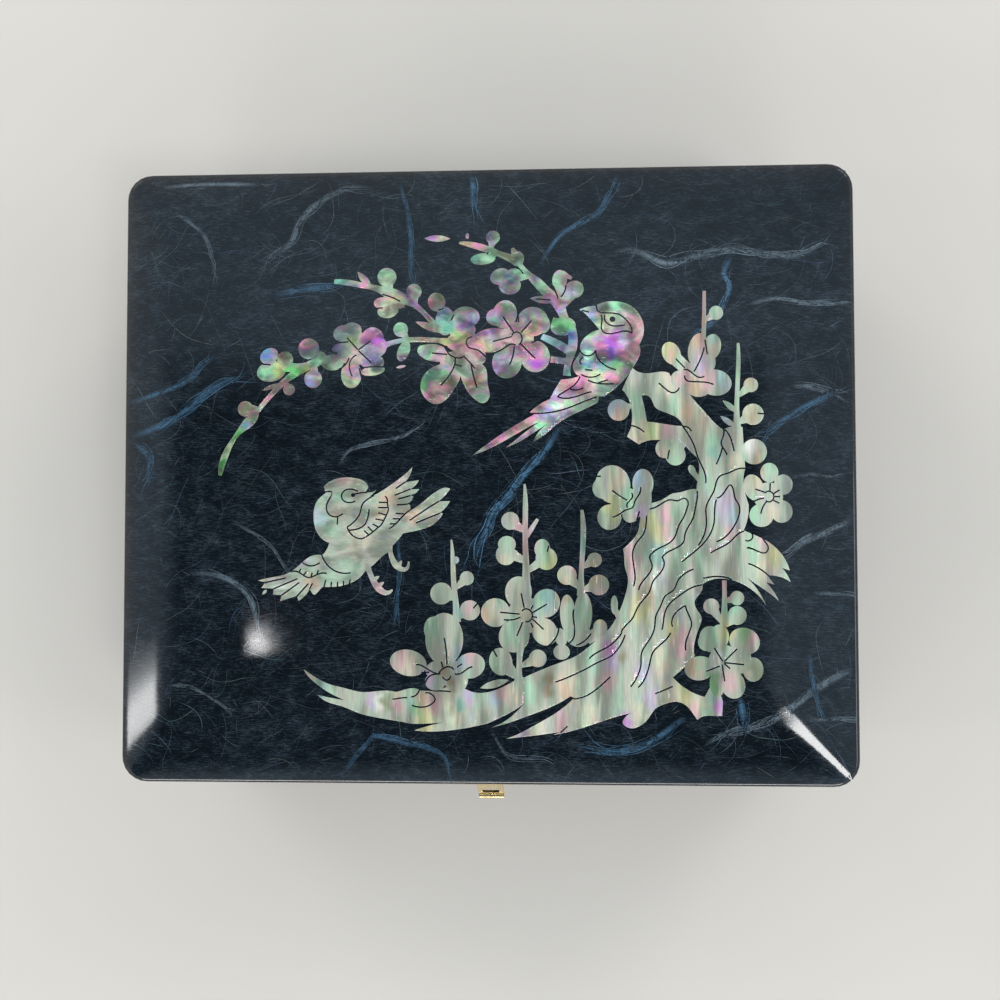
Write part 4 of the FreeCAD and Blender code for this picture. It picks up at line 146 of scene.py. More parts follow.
# Each shell motif: base tint, kind of shell, level, depth of its spots, and the spots: place, reach, tint
SHELLS = {
    "shell_left_spray": ("silver", "vivid", 0.68, 0.9, [
        (-72, 2, 3, "green"), (-70.5, 6.5, 2.5, "cream"), (-67.5, 11, 2.5, "green"), (-65.3, 13.4, 2, "teal"),
        (-65.5, 17.8, 3, "cream"), (-59, 22.6, 3, "pink"), (-54.6, 23.8, 2, "pink"), (-51.5, 27.2, 2.5, "green"),
        (-60.4, 32.9, 2.2, "blue"), (-55.4, 32, 2, "olive"), (-60.5, 28, 2.6, "mint"), (-56.5, 28.4, 2, "yellow"),
        (-52.8, 29.2, 2.5, "green"), (-49.3, 35, 2.4, "pink"), (-48.2, 32.6, 2, "smoke"), (-48.6, 28, 1.6, "yellow"),
        (-48.2, 25.4, 1.6, "sky"), (-46.2, 31.8, 2, "mint"), (-42.2, 31, 2.6, "smoke"), (-40.6, 38.6, 3.4, "slate"),
        (-36.2, 39.6, 2.4, "slate"), (-40.6, 34.4, 2.4, "violet"), (-36, 36.6, 2, "olive"),
        (-31.6, 37.6, 2.8, "pink"), (-29.2, 36.2, 2, "magenta"), (-31.8, 34, 2.4, "lilac"),
        (-30.6, 30.6, 2.6, "violet"), (-31, 27.8, 2, "cream"), (-36.8, 29.6, 2, "rose"), (-37, 25, 2.4, "cream"),
        (-34.6, 32.4, 2, "pink"), (-25, 36.2, 3, "lilac"), (-24.2, 39.8, 2.4, "mint"), (-23, 33.6, 2.6, "mint"),
        (-22.4, 31, 1.6, "slate"), (-24, 29.2, 2, "white"), (-16, 36.9, 3, "cream"), (-16.4, 33.4, 3, "mint"),
        (-12.5, 31.6, 2, "cream"), (-15.8, 26.4, 2.6, "teal"), (-16.6, 24.4, 1.6, "green"), (-12, 27.6, 2.2, "mint"),
        (-13, 21.8, 3, "rose"), (-10, 25, 1.6, "olive"), (-4.6, 27, 2, "white"), (-5.4, 25, 1.6, "yellow"),
        (-2.4, 24.6, 1.8, "peach"), (-1.6, 21.4, 2.6, "smoke"), (-6.6, 33.6, 3, "rose"), (-3, 31.6, 2.4, "pink"),
        (-10.4, 36, 2.2, "yellow"), (-6, 37.2, 2.6, "yellow"), (-6.4, 40.4, 2, "lilac"), (-3.4, 40.6, 1.6, "violet"),
        (-9.6, 39.4, 2, "teal"), (-5.6, 43.4, 2.8, "smoke"), (-11.6, 42.6, 2.6, "teal"), (-14, 46.4, 2.4, "rose"),
        (-12.6, 48.2, 1.6, "olive"), (-17, 41, 2.6, "cream"), (-20.8, 49, 2.4, "smoke"), (-18.6, 45.6, 2, "lilac"),
        (-39.6, 52.6, 3, "teal"), (-36, 51.8, 2, "mint"), (-32.8, 51.2, 2.4, "pink"), (-35.4, 54, 2, "cream"),
        (-28.6, 54, 2.6, "mint"), (-27.4, 52.4, 1.8, "cream"), (-29.4, 46, 2, "pink"), (-26, 44.4, 2.6, "cream"),
        (-24.6, 47.2, 2, "peach"), (-0.8, 38.6, 2.6, "pink"), (3, 44.8, 2.4, "pink"), (5.6, 46.4, 2, "mint"),
        (2.4, 42.2, 2, "teal"), (11, 42.4, 3, "silver"), (12.6, 39, 2.6, "peach"), (6.6, 37.4, 3.2, "pink"),
        (13.6, 32.6, 2, "pink"), (14.2, 29.6, 1.8, "magenta"), (10.6, 33.2, 2.4, "rose"), (4.4, 29.8, 2.8, "lilac"),
        (-0.4, 34.4, 2.6, "peach"), (1.4, 37.6, 2, "lilac"), (16.6, 38, 2, "mint"),
    ]),
    "shell_top_spray": ("silver", "vivid", 0.66, 0.9, [
        (-15, 64.8, 3, "lilac"), (-12, 64.2, 1.6, "cream"), (-6, 65.2, 2, "slate"), (-0.2, 65, 2.4, "slate"),
        (-4.4, 62.4, 2.4, "peach"), (-1.4, 61.8, 1.8, "pink"), (-3.4, 58.6, 2, "teal"), (-0.6, 59.2, 1.8, "mint"),
        (2.4, 60.4, 2.4, "mint"), (6.6, 60.2, 2.4, "cream"), (8.6, 57.4, 2, "slate"), (10.4, 55, 2.6, "mint"),
        (1.6, 53.8, 2.4, "slate"), (5.4, 52.4, 2.4, "smoke"), (4.4, 50.6, 2, "lilac"), (7, 54, 1.6, "teal"),
        (12.6, 47.6, 2.6, "lilac"), (15.4, 50, 2.4, "mint"), (18.4, 55.6, 2, "pink"), (19.6, 53.2, 2, "mint"),
        (23.2, 52, 2, "pink"), (23, 49.4, 2, "lilac"), (18.6, 47.2, 2.6, "pink"), (18, 43.6, 2.4, "lilac"),
        (19.4, 40.9, 2.2, "green"), (22, 39.6, 2, "green"), (17.4, 40.4, 1.6, "mint"), (16.6, 35.8, 3, "sky"),
        (20.4, 34.6, 3, "sky"), (22.6, 36.6, 2, "blue"), (17, 30.4, 2, "peach"), (20.8, 29.4, 2.4, "lilac"),
        (22, 27, 2, "teal"), (19, 26, 2, "peach"),
    ]),
    "shell_perched_bird": ("smoke", "vivid", 1.04, 0.9, [
        (25.4, 44.4, 2.4, "mint"), (28.6, 41.4, 2, "sky"), (31, 46, 2.8, "smoke"), (36, 46, 2, "mint"),
        (38.6, 44, 2.2, "silver"), (32.4, 41, 2.4, "cream"), (33.4, 38.4, 2, "cream"), (40.4, 40.4, 2.4, "rose"),
        (41.4, 37, 2.2, "pink"), (26.8, 37.4, 2.6, "mint"), (25.8, 34.6, 2, "smoke"), (29.8, 36.6, 2, "silver"),
        (34.6, 36.6, 2.8, "magenta"), (31.4, 34, 2.2, "rose"), (34, 32.6, 2.2, "violet"), (37.4, 34.4, 2, "lilac"),
        (35, 29.2, 2, "green"), (32.2, 28.6, 1.6, "teal"), (38.4, 32.4, 2.4, "rose"), (40.6, 33, 2, "pink"),
        (27.4, 32, 2, "mint"), (27.6, 28.6, 2, "teal"), (30.6, 31, 2, "smoke"), (34.6, 26, 2, "pink"),
        (30.6, 26, 2.4, "cream"), (25.4, 26, 2.6, "pink"), (22, 23.6, 2.6, "rose"), (28, 23.2, 2.4, "pink"),
        (32.4, 22.6, 2, "smoke"), (18.4, 21.4, 2.4, "lilac"), (15, 19.6, 2.6, "rose"), (22, 19.6, 2.6, "silver"),
        (17, 16.4, 2, "sky"), (19.6, 17.2, 1.8, "white"), (12.6, 15.4, 2.4, "pink"), (8.4, 12.8, 3, "rose"),
        (4, 10.2, 3, "pink"), (10.4, 12, 2, "cream"), (15, 12.4, 2, "mint"),
    ]),
    "shell_flying_bird": ("silver", "pale", 0.86, 0.5, [
        (-38.6, -1.2, 1.8, "pink"), (-35.6, -1.8, 2, "cream"), (-43, -2.4, 2.4, "smoke"), (-32.6, -5, 2, "silver"),
        (-39, -6.4, 2.4, "mint"), (-45, -7.4, 2.2, "mint"), (-45.4, -12, 2.4, "sky"), (-41.2, -15.2, 2, "mint"),
        (-40, -10.4, 2.4, "cream"), (-24.4, -1.2, 2.4, "pink"), (-22, 1, 2, "cream"), (-25.6, -6, 2.4, "peach"),
        (-28, -10.6, 2, "peach"), (-31, -12.8, 2, "silver"), (-16, -5, 3, "mint"), (-14.6, -9.6, 3, "cream"),
        (-19.6, -11.4, 2.4, "peach"), (-24, -14.6, 2.6, "silver"), (-34, -18.4, 3.4, "cream"),
        (-41, -19.4, 2.4, "silver"), (-36.6, -25.4, 2, "mint"), (-43.6, -24, 2.6, "silver"),
        (-50, -22.6, 2.4, "lilac"), (-54, -24.4, 2, "rose"), (-60, -26.4, 2.4, "peach"), (-56.6, -30, 2.4, "white"),
        (-51, -29, 2, "silver"), (-47, -29.4, 1.8, "peach"), (-42, -27.6, 2, "mint"), (-30.6, -28, 2, "silver"),
        (-29, -31, 2, "pink"), (-23.4, -22, 2, "cream"),
    ]),
    "shell_plum_trunk": ("silver", "upright", 0.92, 0.6, [
        (40.4, 26, 2, "white"), (44.6, 25, 2.4, "silver"), (48.4, 23.6, 2.4, "cream"), (41, 19, 3, "mint"),
        (40.8, 11.4, 2.4, "cream"), (44.6, 10.4, 2.2, "yellow"), (49.6, 11.4, 2, "pink"), (51, 16.6, 2.2, "mint"),
        (54.4, 16.6, 2, "peach"), (57.4, 12.4, 3, "cream"), (60.6, 8.6, 2, "mint"), (62, 5.4, 1.6, "teal"),
        (66.6, 8.4, 2.4, "silver"), (67.6, 1.6, 2, "cream"), (60, -2.4, 2, "mint"), (64.6, -9.4, 2.6, "lilac"),
        (66.2, -12.4, 2, "sky"), (65.6, -15.6, 2, "pink"), (48.6, -11.4, 1.8, "pink"), (51.4, -10.4, 1.8, "mint"),
        (44.6, -13.6, 1.6, "yellow"), (46.4, -16.8, 1.6, "yellow"), (48.6, -17, 1.4, "pink"), (46, -21.6, 2, "teal"),
        (38.6, -20.6, 2, "pink"), (40, -25.4, 2.2, "pink"), (41.4, -28.4, 1.8, "cream"), (55.4, -15.4, 2.6, "silver"),
        (59.6, -22, 3.4, "silver"), (64, -24, 3, "silver"), (72, -20, 2.4, "mint"), (74.6, -18.8, 2, "pink"),
        (77, -22.4, 2.2, "yellow"), (74.6, -26.4, 2.4, "cream"), (52, -24.4, 2.4, "mint"), (49, -30, 2, "silver"),
        (44.2, -32, 1.3, "tan"), (44, -35, 1.2, "tan"), (41.6, -36.4, 2.2, "yellow"), (46.4, -29.6, 2, "white"),
        (54, -33.6, 2, "silver"), (50, -42.6, 1.8, "yellow"), (52.6, -45.6, 2.4, "pink"), (47, -50, 2.6, "cream"),
        (33.4, -47.8, 1.6, "magenta"), (33.8, -50.6, 1.6, "lilac"), (36.8, -49.2, 1, "tan"), (42.8, -53, 2, "lilac"),
        (38.4, -44, 2.4, "silver"), (33, -55.8, 1.8, "pink"), (28.4, -50.6, 2.4, "mint"), (23, -55, 2.4, "cream"),
        (17.4, -55.4, 1.2, "amber"), (17, -58.4, 1.1, "amber"), (21.6, -58, 2, "peach"), (26.6, -56.6, 2, "silver"),
        (37.8, -66.4, 1.6, "magenta"), (40.8, -64.4, 2, "cream"), (44.6, -60.6, 2, "lilac"),
        (49, -59.4, 2.2, "cream"), (55.8, -63.4, 1.6, "pink"), (57.6, -62, 1.4, "cream"), (59.8, -62.6, 1.4, "mint"),
        (62.4, -62.6, 1.4, "magenta"), (61, -60, 1.4, "teal"), (53.6, -59.4, 2, "yellow"), (10, -68.6, 1.6, "lilac"),
        (14.4, -67, 2, "cream"), (20.4, -66.6, 2.2, "pink"), (27.6, -65.4, 2.4, "cream"),
        (33.4, -62.4, 2.4, "silver"), (12.6, -59, 2, "mint"), (7.6, -65.4, 2, "silver"),
    ]),
    "shell_plum_branches": ("silver", "upright", 0.92, 0.65, [
        (49, 34, 1.8, "yellow"), (50.8, 31.6, 1.8, "peach"), (52.6, 29.6, 2, "mint"), (57, 36, 2, "peach"),
        (58.4, 32.6, 2, "pink"), (61.4, 36.6, 2, "mint"), (61.6, 32.8, 1.8, "cream"), (58.4, 28.6, 2, "lilac"),
        (60.6, 25, 2.2, "pink"), (64, 25, 2.2, "sky"), (65.6, 22.6, 1.8, "lilac"), (56.8, 22.8, 2, "peach"),
        (53.2, 26.4, 2, "pink"), (61.4, 44, 2, "mint"), (57.6, 46, 4, "pink"), (57.6, 40, 2, "peach"),
        (66.6, 25, 5, "mint"), (70.4, 24.8, 2, "peach"), (71.6, 15.8, 1.8, "tan"), (70.6, 18.2, 2, "cream"),
        (71.4, 7.4, 2, "white"), (73, 5.6, 1, "tan"), (64.4, 18.6, 2, "mint"), (63.6, 14, 2, "sky"),
        (35, 18.4, 2.4, "sky"), (36, 15.4, 2, "peach"), (31.6, 20, 2, "mint"), (48.6, 4.4, 2, "cream"),
        (46.4, 2.4, 2, "pink"), (51, 3, 2, "mint"), (35.6, -2.4, 2.4, "cream"), (38.6, -7, 2.4, "mint"),
        (34.4, -9.6, 2, "yellow"), (41, -1.4, 2, "sky"), (42.6, -11.4, 1.8, "lilac"), (73, -2, 2.4, "cream"),
        (76, -5.6, 2.4, "silver"), (71.6, -10.6, 2.4, "mint"), (77, -11.4, 2, "cream"), (73.4, 1.8, 1.6, "tan"),
        (77, 1.4, 2, "mint"),
    ]),
    "shell_lower_blossoms": ("silver", "upright", 0.78, 0.6, [
        (-9.4, -14, 4, "silver"), (-12.8, -25.4, 2, "cream"), (-5.6, -22.4, 2, "sky"), (-6.8, -36.6, 1.8, "teal"),
        (-4.4, -35.2, 2, "pink"), (-14.4, -41.4, 2.4, "mint"), (-9.4, -42.6, 2.4, "silver"), (-23, -50, 2, "pink"),
        (-20.4, -51.6, 1.8, "cream"), (-24.6, -48.6, 1.8, "silver"), (-10.4, -52.8, 1.4, "tan"),
        (-8.8, -56.4, 1.1, "amber"), (-6.4, -49.6, 2, "sky"), (-4.4, -48.4, 2, "pink"), (-15.4, -55.4, 2, "lilac"),
        (10.4, -37.6, 1.8, "cream"), (9.6, -29.6, 2.6, "silver"), (16.4, -33, 2.6, "teal"), (14, -35, 2, "mint"),
        (0.6, -38.4, 1.6, "peach"), (1.4, -36.2, 2, "cream"), (7.8, -42.6, 2.4, "mint"), (15.6, -42.6, 2.4, "cream"),
        (2.6, -51, 2, "mint"), (13.2, -51.8, 2, "cream"), (6, -18.4, 2.2, "mint"), (6.4, -25.6, 2.4, "cream"),
        (17.6, -25, 2.4, "yellow"), (15.6, -22.4, 2, "mint"), (10.6, -16.6, 3, "pink"), (24.6, -19, 2.4, "teal"),
        (24.6, -24, 2, "pink"), (29.6, -27, 2, "peach"), (21.6, -31.6, 2, "tan"), (23, -29.6, 1.6, "cream"),
        (31.6, -35.4, 2.4, "pink"), (30.4, -37.4, 1.8, "yellow"), (25.6, -38.6, 2.6, "mint"),
        (28.4, -42.4, 2.4, "silver"), (24.4, -49.6, 2, "mint"), (61.6, -50.4, 1.8, "white"),
        (60.4, -43.4, 2.2, "mint"), (64.6, -41.8, 2, "yellow"), (71.4, -44.6, 1.8, "pink"),
        (69.4, -42.6, 1.8, "green"), (72.4, -52.6, 1.8, "olive"), (68.6, -53.6, 2, "cream"),
        (55.4, -51.4, 2, "peach"), (57.4, -49.2, 2, "mint"), (64.6, -55.8, 2, "pink"), (60.8, -56.6, 1.8, "green"),
        (59, -33.4, 2.4, "white"), (66, -36.2, 2.4, "mint"), (64.8, -30.6, 2, "pink"),
    ]),
    "shell_plum_roots": ("silver", "upright", 0.82, 0.65, [
        (-48.4, -54, 2, "cream"), (-43.4, -58, 1.6, "teal"), (-41, -58.6, 1.3, "mint"), (-45.4, -59.6, 1.6, "teal"),
        (-37.4, -59.6, 2.4, "silver"), (-30.6, -61, 1.5, "lilac"), (-28.6, -62, 1.3, "white"),
        (-26.4, -61.6, 1.4, "olive"), (-23.4, -62.6, 1.4, "pink"), (-21, -61.4, 1.4, "mint"),
        (-19, -63, 1.3, "green"), (-16.6, -61.4, 1.6, "peach"), (-13.4, -62, 1.8, "pink"),
        (-10.4, -60.6, 1.6, "cream"), (-7.2, -62.8, 1.4, "teal"), (-4.4, -60.2, 1.6, "lilac"),
        (-1.4, -60.4, 1.6, "mint"), (2.4, -60.4, 1.4, "sky"), (4.6, -58.6, 1.6, "pink"), (7.6, -59.6, 1.8, "cream"),
        (-16, -66.2, 2.4, "yellow"), (-8, -65.4, 1.6, "cream"), (-8.6, -64, 1, "amber"), (-2, -66.6, 2, "silver"),
        (-24, -58.6, 1.8, "cream"), (-18.6, -58.4, 1.8, "mint"),
    ]),
}
# Spots are looked up by square cells of this many millimetres
CELL = 6.0

# Long fibres of the paper on the lid: width, strength, whether it is a blue one, and its places
STRANDS = [
    (2.6, 0.95, True, [(21, 13.5), (19.5, 11), (16.5, 6), (13.5, 2.5), (11, 0), (7, -5.5), (4.5, -8.5), (2.5, -11),
                       (1, -15), (-1, -19), (-2.5, -23)]),
    (2.4, 0.6, False, [(33.3, 58.9), (40.7, 60), (49.4, 56.4), (59.4, 58.9), (66.8, 60), (82.8, 58.1), (91, 61.6)]),
    (1.9, 0.8, True, [(66.8, 58.1), (64.6, 53.7), (66, 49.4), (62.4, 41.2), (59.4, 38.2)]),
    (1.5, 0.6, False, [(71.1, 45), (78.5, 46.6), (88.5, 45.3), (98.1, 45.6)]),
    (1.7, 0.5, True, [(15.1, 56.4), (20.8, 64.6), (30.3, 70.3), (35.5, 76.8)]),
    (1.6, 0.5, False, [(82.6, 23), (88, 22.8), (93.7, 21.4)]),
    (2.2, 0.5, True, [(94.5, 21.6), (84.2, 16.5), (75.5, 10.7)]),
    (2.1, 0.6, False, [(98.6, -12.6), (91.5, -16.2), (86, -18.4), (80.6, -21.5)]),
    (2.6, 0.6, False, [(98.6, -52.1), (88, -57.8), (76.3, -66), (62.4, -70.9)]),
    (2.4, 0.6, True, [(53.7, -65.1), (43.4, -72.5), (34.7, -74.7), (29, -73.8)]),
    (1.5, 0.45, True, [(86.4, -48.3), (87.2, -55.6), (89.4, -63.8)]),
    (1.1, 0.5, False, [(87.4, -32.2), (93.2, -32.5), (98.6, -33)]),
    (1.3, 0.5, False, [(86, -66), (93.4, -65.7), (98.6, -66)]),
    (1.1, 0.4, False, [(82, -1.8), (86.6, -0.7), (91.5, -1)]),
    (2.2, 0.6, True, [(68.1, -60), (68.4, -63.2), (69, -66.5)]),
    (1.1, 0.35, False, [(2, -69.5), (6.4, -76), (15.9, -76.8)]),
    (2.2, 0.5, False, [(-30.1, 79), (-39.8, 78.5), (-49.6, 71.4), (-53.2, 63.8), (-59.4, 58.9)]),
    (1.4, 0.4, False, [(-85.8, 72.8), (-77.4, 66), (-74.1, 56.2)]),
    (1.5, 0.5, True, [(-23.3, 80.4), (-20.5, 68.7), (-19.7, 53.4)]),
    (2.0, 0.75, True, [(-3.7, 82.4), (-3.1, 77.9), (-3.1, 72.8)]),
    (2.4, 0.5, True, [(-57.6, 49.3), (-49.4, 50.5), (-42, 51.5)]),
    (2.6, 0.55, True, [(-98.6, 10.5), (-85.8, 15.1), (-74.7, 23.5), (-67.6, 26.2)]),
    (1.9, 0.45, True, [(-98.6, 20), (-83.6, 24.9), (-76.6, 30.6)]),
    (2.2, 0.4, True, [(-97.3, 8.8), (-93.6, 6.2), (-92.4, 3.2), (-93.4, -0.7)]),
    (1.3, 0.5, False, [(-39.8, 2), (-35.8, 6.9), (-23.8, 9.7), (-19.2, 11.8)]),
    (1.9, 0.55, False, [(-80.9, -26.8), (-71.7, -27.9), (-64.1, -33), (-61.3, -42.8)]),
    (1.1, 0.4, False, [(-68.4, -12.9), (-58.6, -19.2), (-54.5, -24.9)]),
    (1.3, 0.4, True, [(-23.3, -16.5), (-23, -26.8), (-23.8, -37.9)]),
    (1.1, 0.4, False, [(-87.2, -57.3), (-78.7, -58.3), (-70.3, -63.5)]),
    (1.6, 0.5, True, [(-39.8, -82.6), (-31.7, -72.8), (-28.2, -71.1), (-12.1, -75.5), (-9.9, -82.3)]),
    (1.6, 0.5, False, [(-90, 80.2), (-78, 80.9), (-62, 80.6)]),
]


def length(name, description, metres):
    return FloatProperty(name=name, description=description, default=metres, unit="LENGTH")


class LacquerBoxSizes(bpy.types.PropertyGroup):
    """Sizes of the box's outside and of its soft edges."""
    corner_radius: length("Corner radius", "Upright corners over the lacquer", 0.007)
    crown_width: length("Border width", "Width of the lid's falling borders", 0.035)
    crown_drop: length("Border fall", "Fall of the lid's top to its edge", 0.0035)
    hip_softness: length("Hip softness", "How far two falling borders melt together", 0.0007)
    rim_round: length("Rim rounding", "Radius of the lid's upper edge", 0.0012)
    skin: length("Skin", "Paper and lacquer over the boards", 0.00055)
    stop_bevel: FloatProperty(name="Stop bevel", description="Slope of the back edges that stop the lid",
                              default=math.radians(50.5), subtype="ANGLE")
    shell_step: length("Shell step", "Longest face of the shell pieces", 0.001)
    shell_rise: FloatProperty(name="Shell rise", description="Share of the shell's thickness above the lacquer",
                              default=0.35, min=0, max=1, subtype="FACTOR")
    strand_lift: length("Strand lift", "Fibres above the paper, inside the lacquer", 0.000003)
    velvet_voxel: length("Velvet voxel", "Mesh size of the rolls while they are filled", 0.0015)
    roll_pressure: FloatProperty(name="Roll pressure", description="Pressure that fills the velvet rolls", default=300)
    hairs: IntProperty(name="Hairs", description="Fine hairs on the lid", default=1700)
    card_round: length("Card rounding", "Rounding of the velvet-covered cards", 0.0005)


def colour(name, description, code):
    return FloatVectorProperty(name=name, description=description, default=shade(code), size=3, min=0, max=1,
                               subtype="COLOR")


class LacquerBoxColours(bpy.types.PropertyGroup):
    """Colours of the finishes."""
    paper_dark: colour("Paper, dark", "Darkest part of the paper", "#05090d")
    paper_mid: colour("Paper, middle", "Common part of the paper", "#0f171e")
    paper_light: colour("Paper, light", "Palest part of the paper", "#323c44")
    strand_blue: colour("Blue fibre", "Dyed fibres in the paper", "#5682a4")
    strand_grey: colour("Grey fibre", "Undyed fibres in the paper", "#8598a5")
    rim: colour("Rim lacquer", "Lacquer on the boards' edges", "#0a0908")
    velvet: colour("Velvet", "Velvet of the linings", "#5b0f1e")
    brass: colour("Brass", "Gilt brass of the hinges and the clasp", "#ead6a4")
    felt: colour("Felt", "Felt under the base", "#1c2320")
    floor: colour("Floor", "Table that the box stands on", "#d8d4cd")


class LacquerBoxStage(bpy.types.PropertyGroup):
    """Light and view."""
    room_level: FloatProperty(name="Room light", description="Strength of the light from all round", default=1.05)
    key_power: FloatProperty(name="Key light", description="Power of the strip lamp", default=26.0,
                             unit="POWER")
    lens: FloatProperty(name="Lens", description="Focal length for a sensor 36 mm wide", default=45.34,
                        subtype="DISTANCE_CAMERA")


def sizes():
    return bpy.context.scene.lacquer_box_sizes


def mm(name):
    """One of the sizes in millimetres."""
    return getattr(sizes(), name) * PER_METRE


def colours():
    return bpy.context.scene.lacquer_box_colours


def feed(tree, socket, value):
    if isinstance(value, bpy.types.NodeSocket):
        tree.links.new(value, socket)
    else:
        socket.default_value = value


def add_node(tree, kind, inputs=None, **settings):
    """Adds a shader node with its settings and its inputs, by name or number."""
    node = tree.nodes.new(kind)
    for name, setting in settings.items():
        setattr(node, name, setting)
    for socket, value in (inputs or {}).items():
        feed(tree, node.inputs[socket], value)
    return node


def fill_ramp(band, stops):
    while len(band.elements) < len(stops):
        band.elements.new(0.5)
    for element, (place, tone) in zip(band.elements, stops):
        element.position = place
        element.color = (*tone, 1)


class Finish:
    """A procedural material while its nodes are put together."""

    def __init__(self, name):
        self.material = bpy.data.materials.new(name)
        self.material.use_nodes = True
        self.tree = self.material.node_tree
        self.tree.nodes.clear()
        self.surface = self.add("ShaderNodeBsdfPrincipled")
        output = self.add("ShaderNodeOutputMaterial")
        self.tree.links.new(self.surface.outputs[0], output.inputs[0])

    def add(self, kind, inputs=None, **settings):
        return add_node(self.tree, kind, inputs, **settings)

    def set(self, values):
        for socket, value in values.items():
            feed(self.tree, self.surface.inputs[socket], value)
        return self.material

    def millimetres(self):
        """Object coordinates in millimetres."""
        place = self.add("ShaderNodeTexCoord").outputs["Object"]
        return self.stretch(place, (PER_METRE, PER_METRE, PER_METRE))

    def sheet(self, name):
        """A UV map in millimetres."""
        place = self.add("ShaderNodeUVMap", uv_map=name).outputs[0]
        return self.stretch(place, (PER_METRE, PER_METRE, PER_METRE))

    def stretch(self, place, scale, turn=0.0):
        return self.add("ShaderNodeMapping", {"Vector": place, "Rotation": (0, 0, turn), "Scale": scale}).outputs[0]

    def noise(self, place, scale, detail=2.0, rough=0.5, warp=0.0, flat=False):
        node = self.add("ShaderNodeTexNoise", {"Vector": place, "Scale": scale, "Detail": detail,
                                               "Roughness": rough, "Distortion": warp},
                        noise_dimensions="2D" if flat else "3D")
        return node.outputs[0]

    def math(self, operation, first, second=0.0):
        return self.add("ShaderNodeMath", {0: first, 1: second}, operation=operation).outputs[0]

    def total(self, *shares):
        """Sum of values, each times its share."""
        first, *others = (self.math("MULTIPLY", value, share) for value, share in shares)
        for other in others:
            first = self.math("ADD", first, other)
        return first

    def span(self, value, low, high, out_low=0.0, out_high=1.0):
        """Takes a value smoothly from one range to another."""
        node = self.add("ShaderNodeMapRange", {"Value": value, "From Min": low, "From Max": high, "To Min": out_low,
                                               "To Max": out_high}, interpolation_type="SMOOTHSTEP")
        return node.outputs[0]

    def ramp(self, value, stops):
        node = self.add("ShaderNodeValToRGB", {0: value})
        fill_ramp(node.color_ramp, stops)
        return node.outputs[0]

    def mix(self, share, first, second, blend="MIX"):
        first, second = ((*tone, 1) if isinstance(tone, tuple) else tone for tone in (first, second))
        node = self.add("ShaderNodeMix", {0: share, 6: first, 7: second}, data_type="RGBA", blend_type=blend)
        return node.outputs[2]

    def bump(self, height, strength, depth, over=None):
        inputs = {"Height": height, "Strength": strength, "Distance": depth}
        if over is not None:
            inputs["Normal"] = over
        return self.add("ShaderNodeBump", inputs).outputs[0]


def paper_tone(finish):
    """Colour of the dark mulberry paper, and a height for its faint texture."""
    tones = colours()
    place = finish.sheet("paper")
    cloud = finish.noise(place, 0.035, 3, 0.6, flat=True)
    dashes = finish.noise(finish.stretch(place, (0.3, 1.6, 1), -0.12), 1.7, 3, 0.7, 0.4, flat=True)
    slant = finish.noise(finish.stretch(place, (0.3, 1.6, 1), -0.5), 1.5, 3, 0.7, 0.4, flat=True)
    tufts = finish.noise(finish.stretch(place, (0.6, 1, 1), -0.3), 0.3, 3, 0.6, flat=True)
    grain = finish.noise(place, 4.2, 2, 0.6, flat=True)
    longest = finish.math("MAXIMUM", dashes, slant)
    weave = finish.total((longest, 0.5), (tufts, 0.2), (cloud, 0.12), (grain, 0.18))
    tone = finish.ramp(weave, [(0.4, tuple(tones.paper_dark)), (0.53, tuple(tones.paper_mid)),
                               (0.66, tuple(tones.paper_light))])
    return tone, weave, grain


def lacquer_gloss(finish, weave, grain):
    """Roughness and normal of clear lacquer over paper."""
    rough = finish.span(weave, 0.35, 0.65, 0.045, 0.07)
    return rough, finish.bump(finish.total((weave, 0.7), (grain, 0.3)), 0.08, 0.00003)


def lacquered_paper():
    finish = Finish("lacquered_paper")
    tone, weave, grain = paper_tone(finish)
    rough, normal = lacquer_gloss(finish, weave, grain)
    return finish.set({"Base Color": tone, "Roughness": rough, "Normal": normal, "IOR": 1.5})


def lacquered_fibre():
    """The same paper with one fibre along the strip, thin at its sides and broken here and there."""
    finish = Finish("lacquered_fibre")
    tone, weave, grain = paper_tone(finish)
    rough, normal = lacquer_gloss(finish, weave, grain)
    thread = finish.add("ShaderNodeAttribute", attribute_name="thread")
    split = finish.add("ShaderNodeSeparateXYZ", {0: finish.add("ShaderNodeUVMap", uv_map="fibre").outputs[0]})
    side = finish.math("ABSOLUTE", finish.math("SUBTRACT", finish.math("MULTIPLY", split.outputs[0], 2), 1))
    fuzz = finish.noise(finish.sheet("paper"), 1.6, 3, 0.75, flat=True)
    body = finish.span(finish.math("ADD", side, finish.math("MULTIPLY", fuzz, 0.9)), 1.3, 0.45)
    patch = finish.span(finish.noise(finish.sheet("paper"), 0.3, 3, 0.65, flat=True), 0.28, 0.6, 0.5, 1)
    share = finish.math("MULTIPLY", finish.math("MULTIPLY", body, patch), thread.outputs["Alpha"])
    tone = finish.mix(share, tone, thread.outputs["Color"])
    return finish.set({"Base Color": tone, "Roughness": rough, "Normal": normal, "IOR": 1.5})


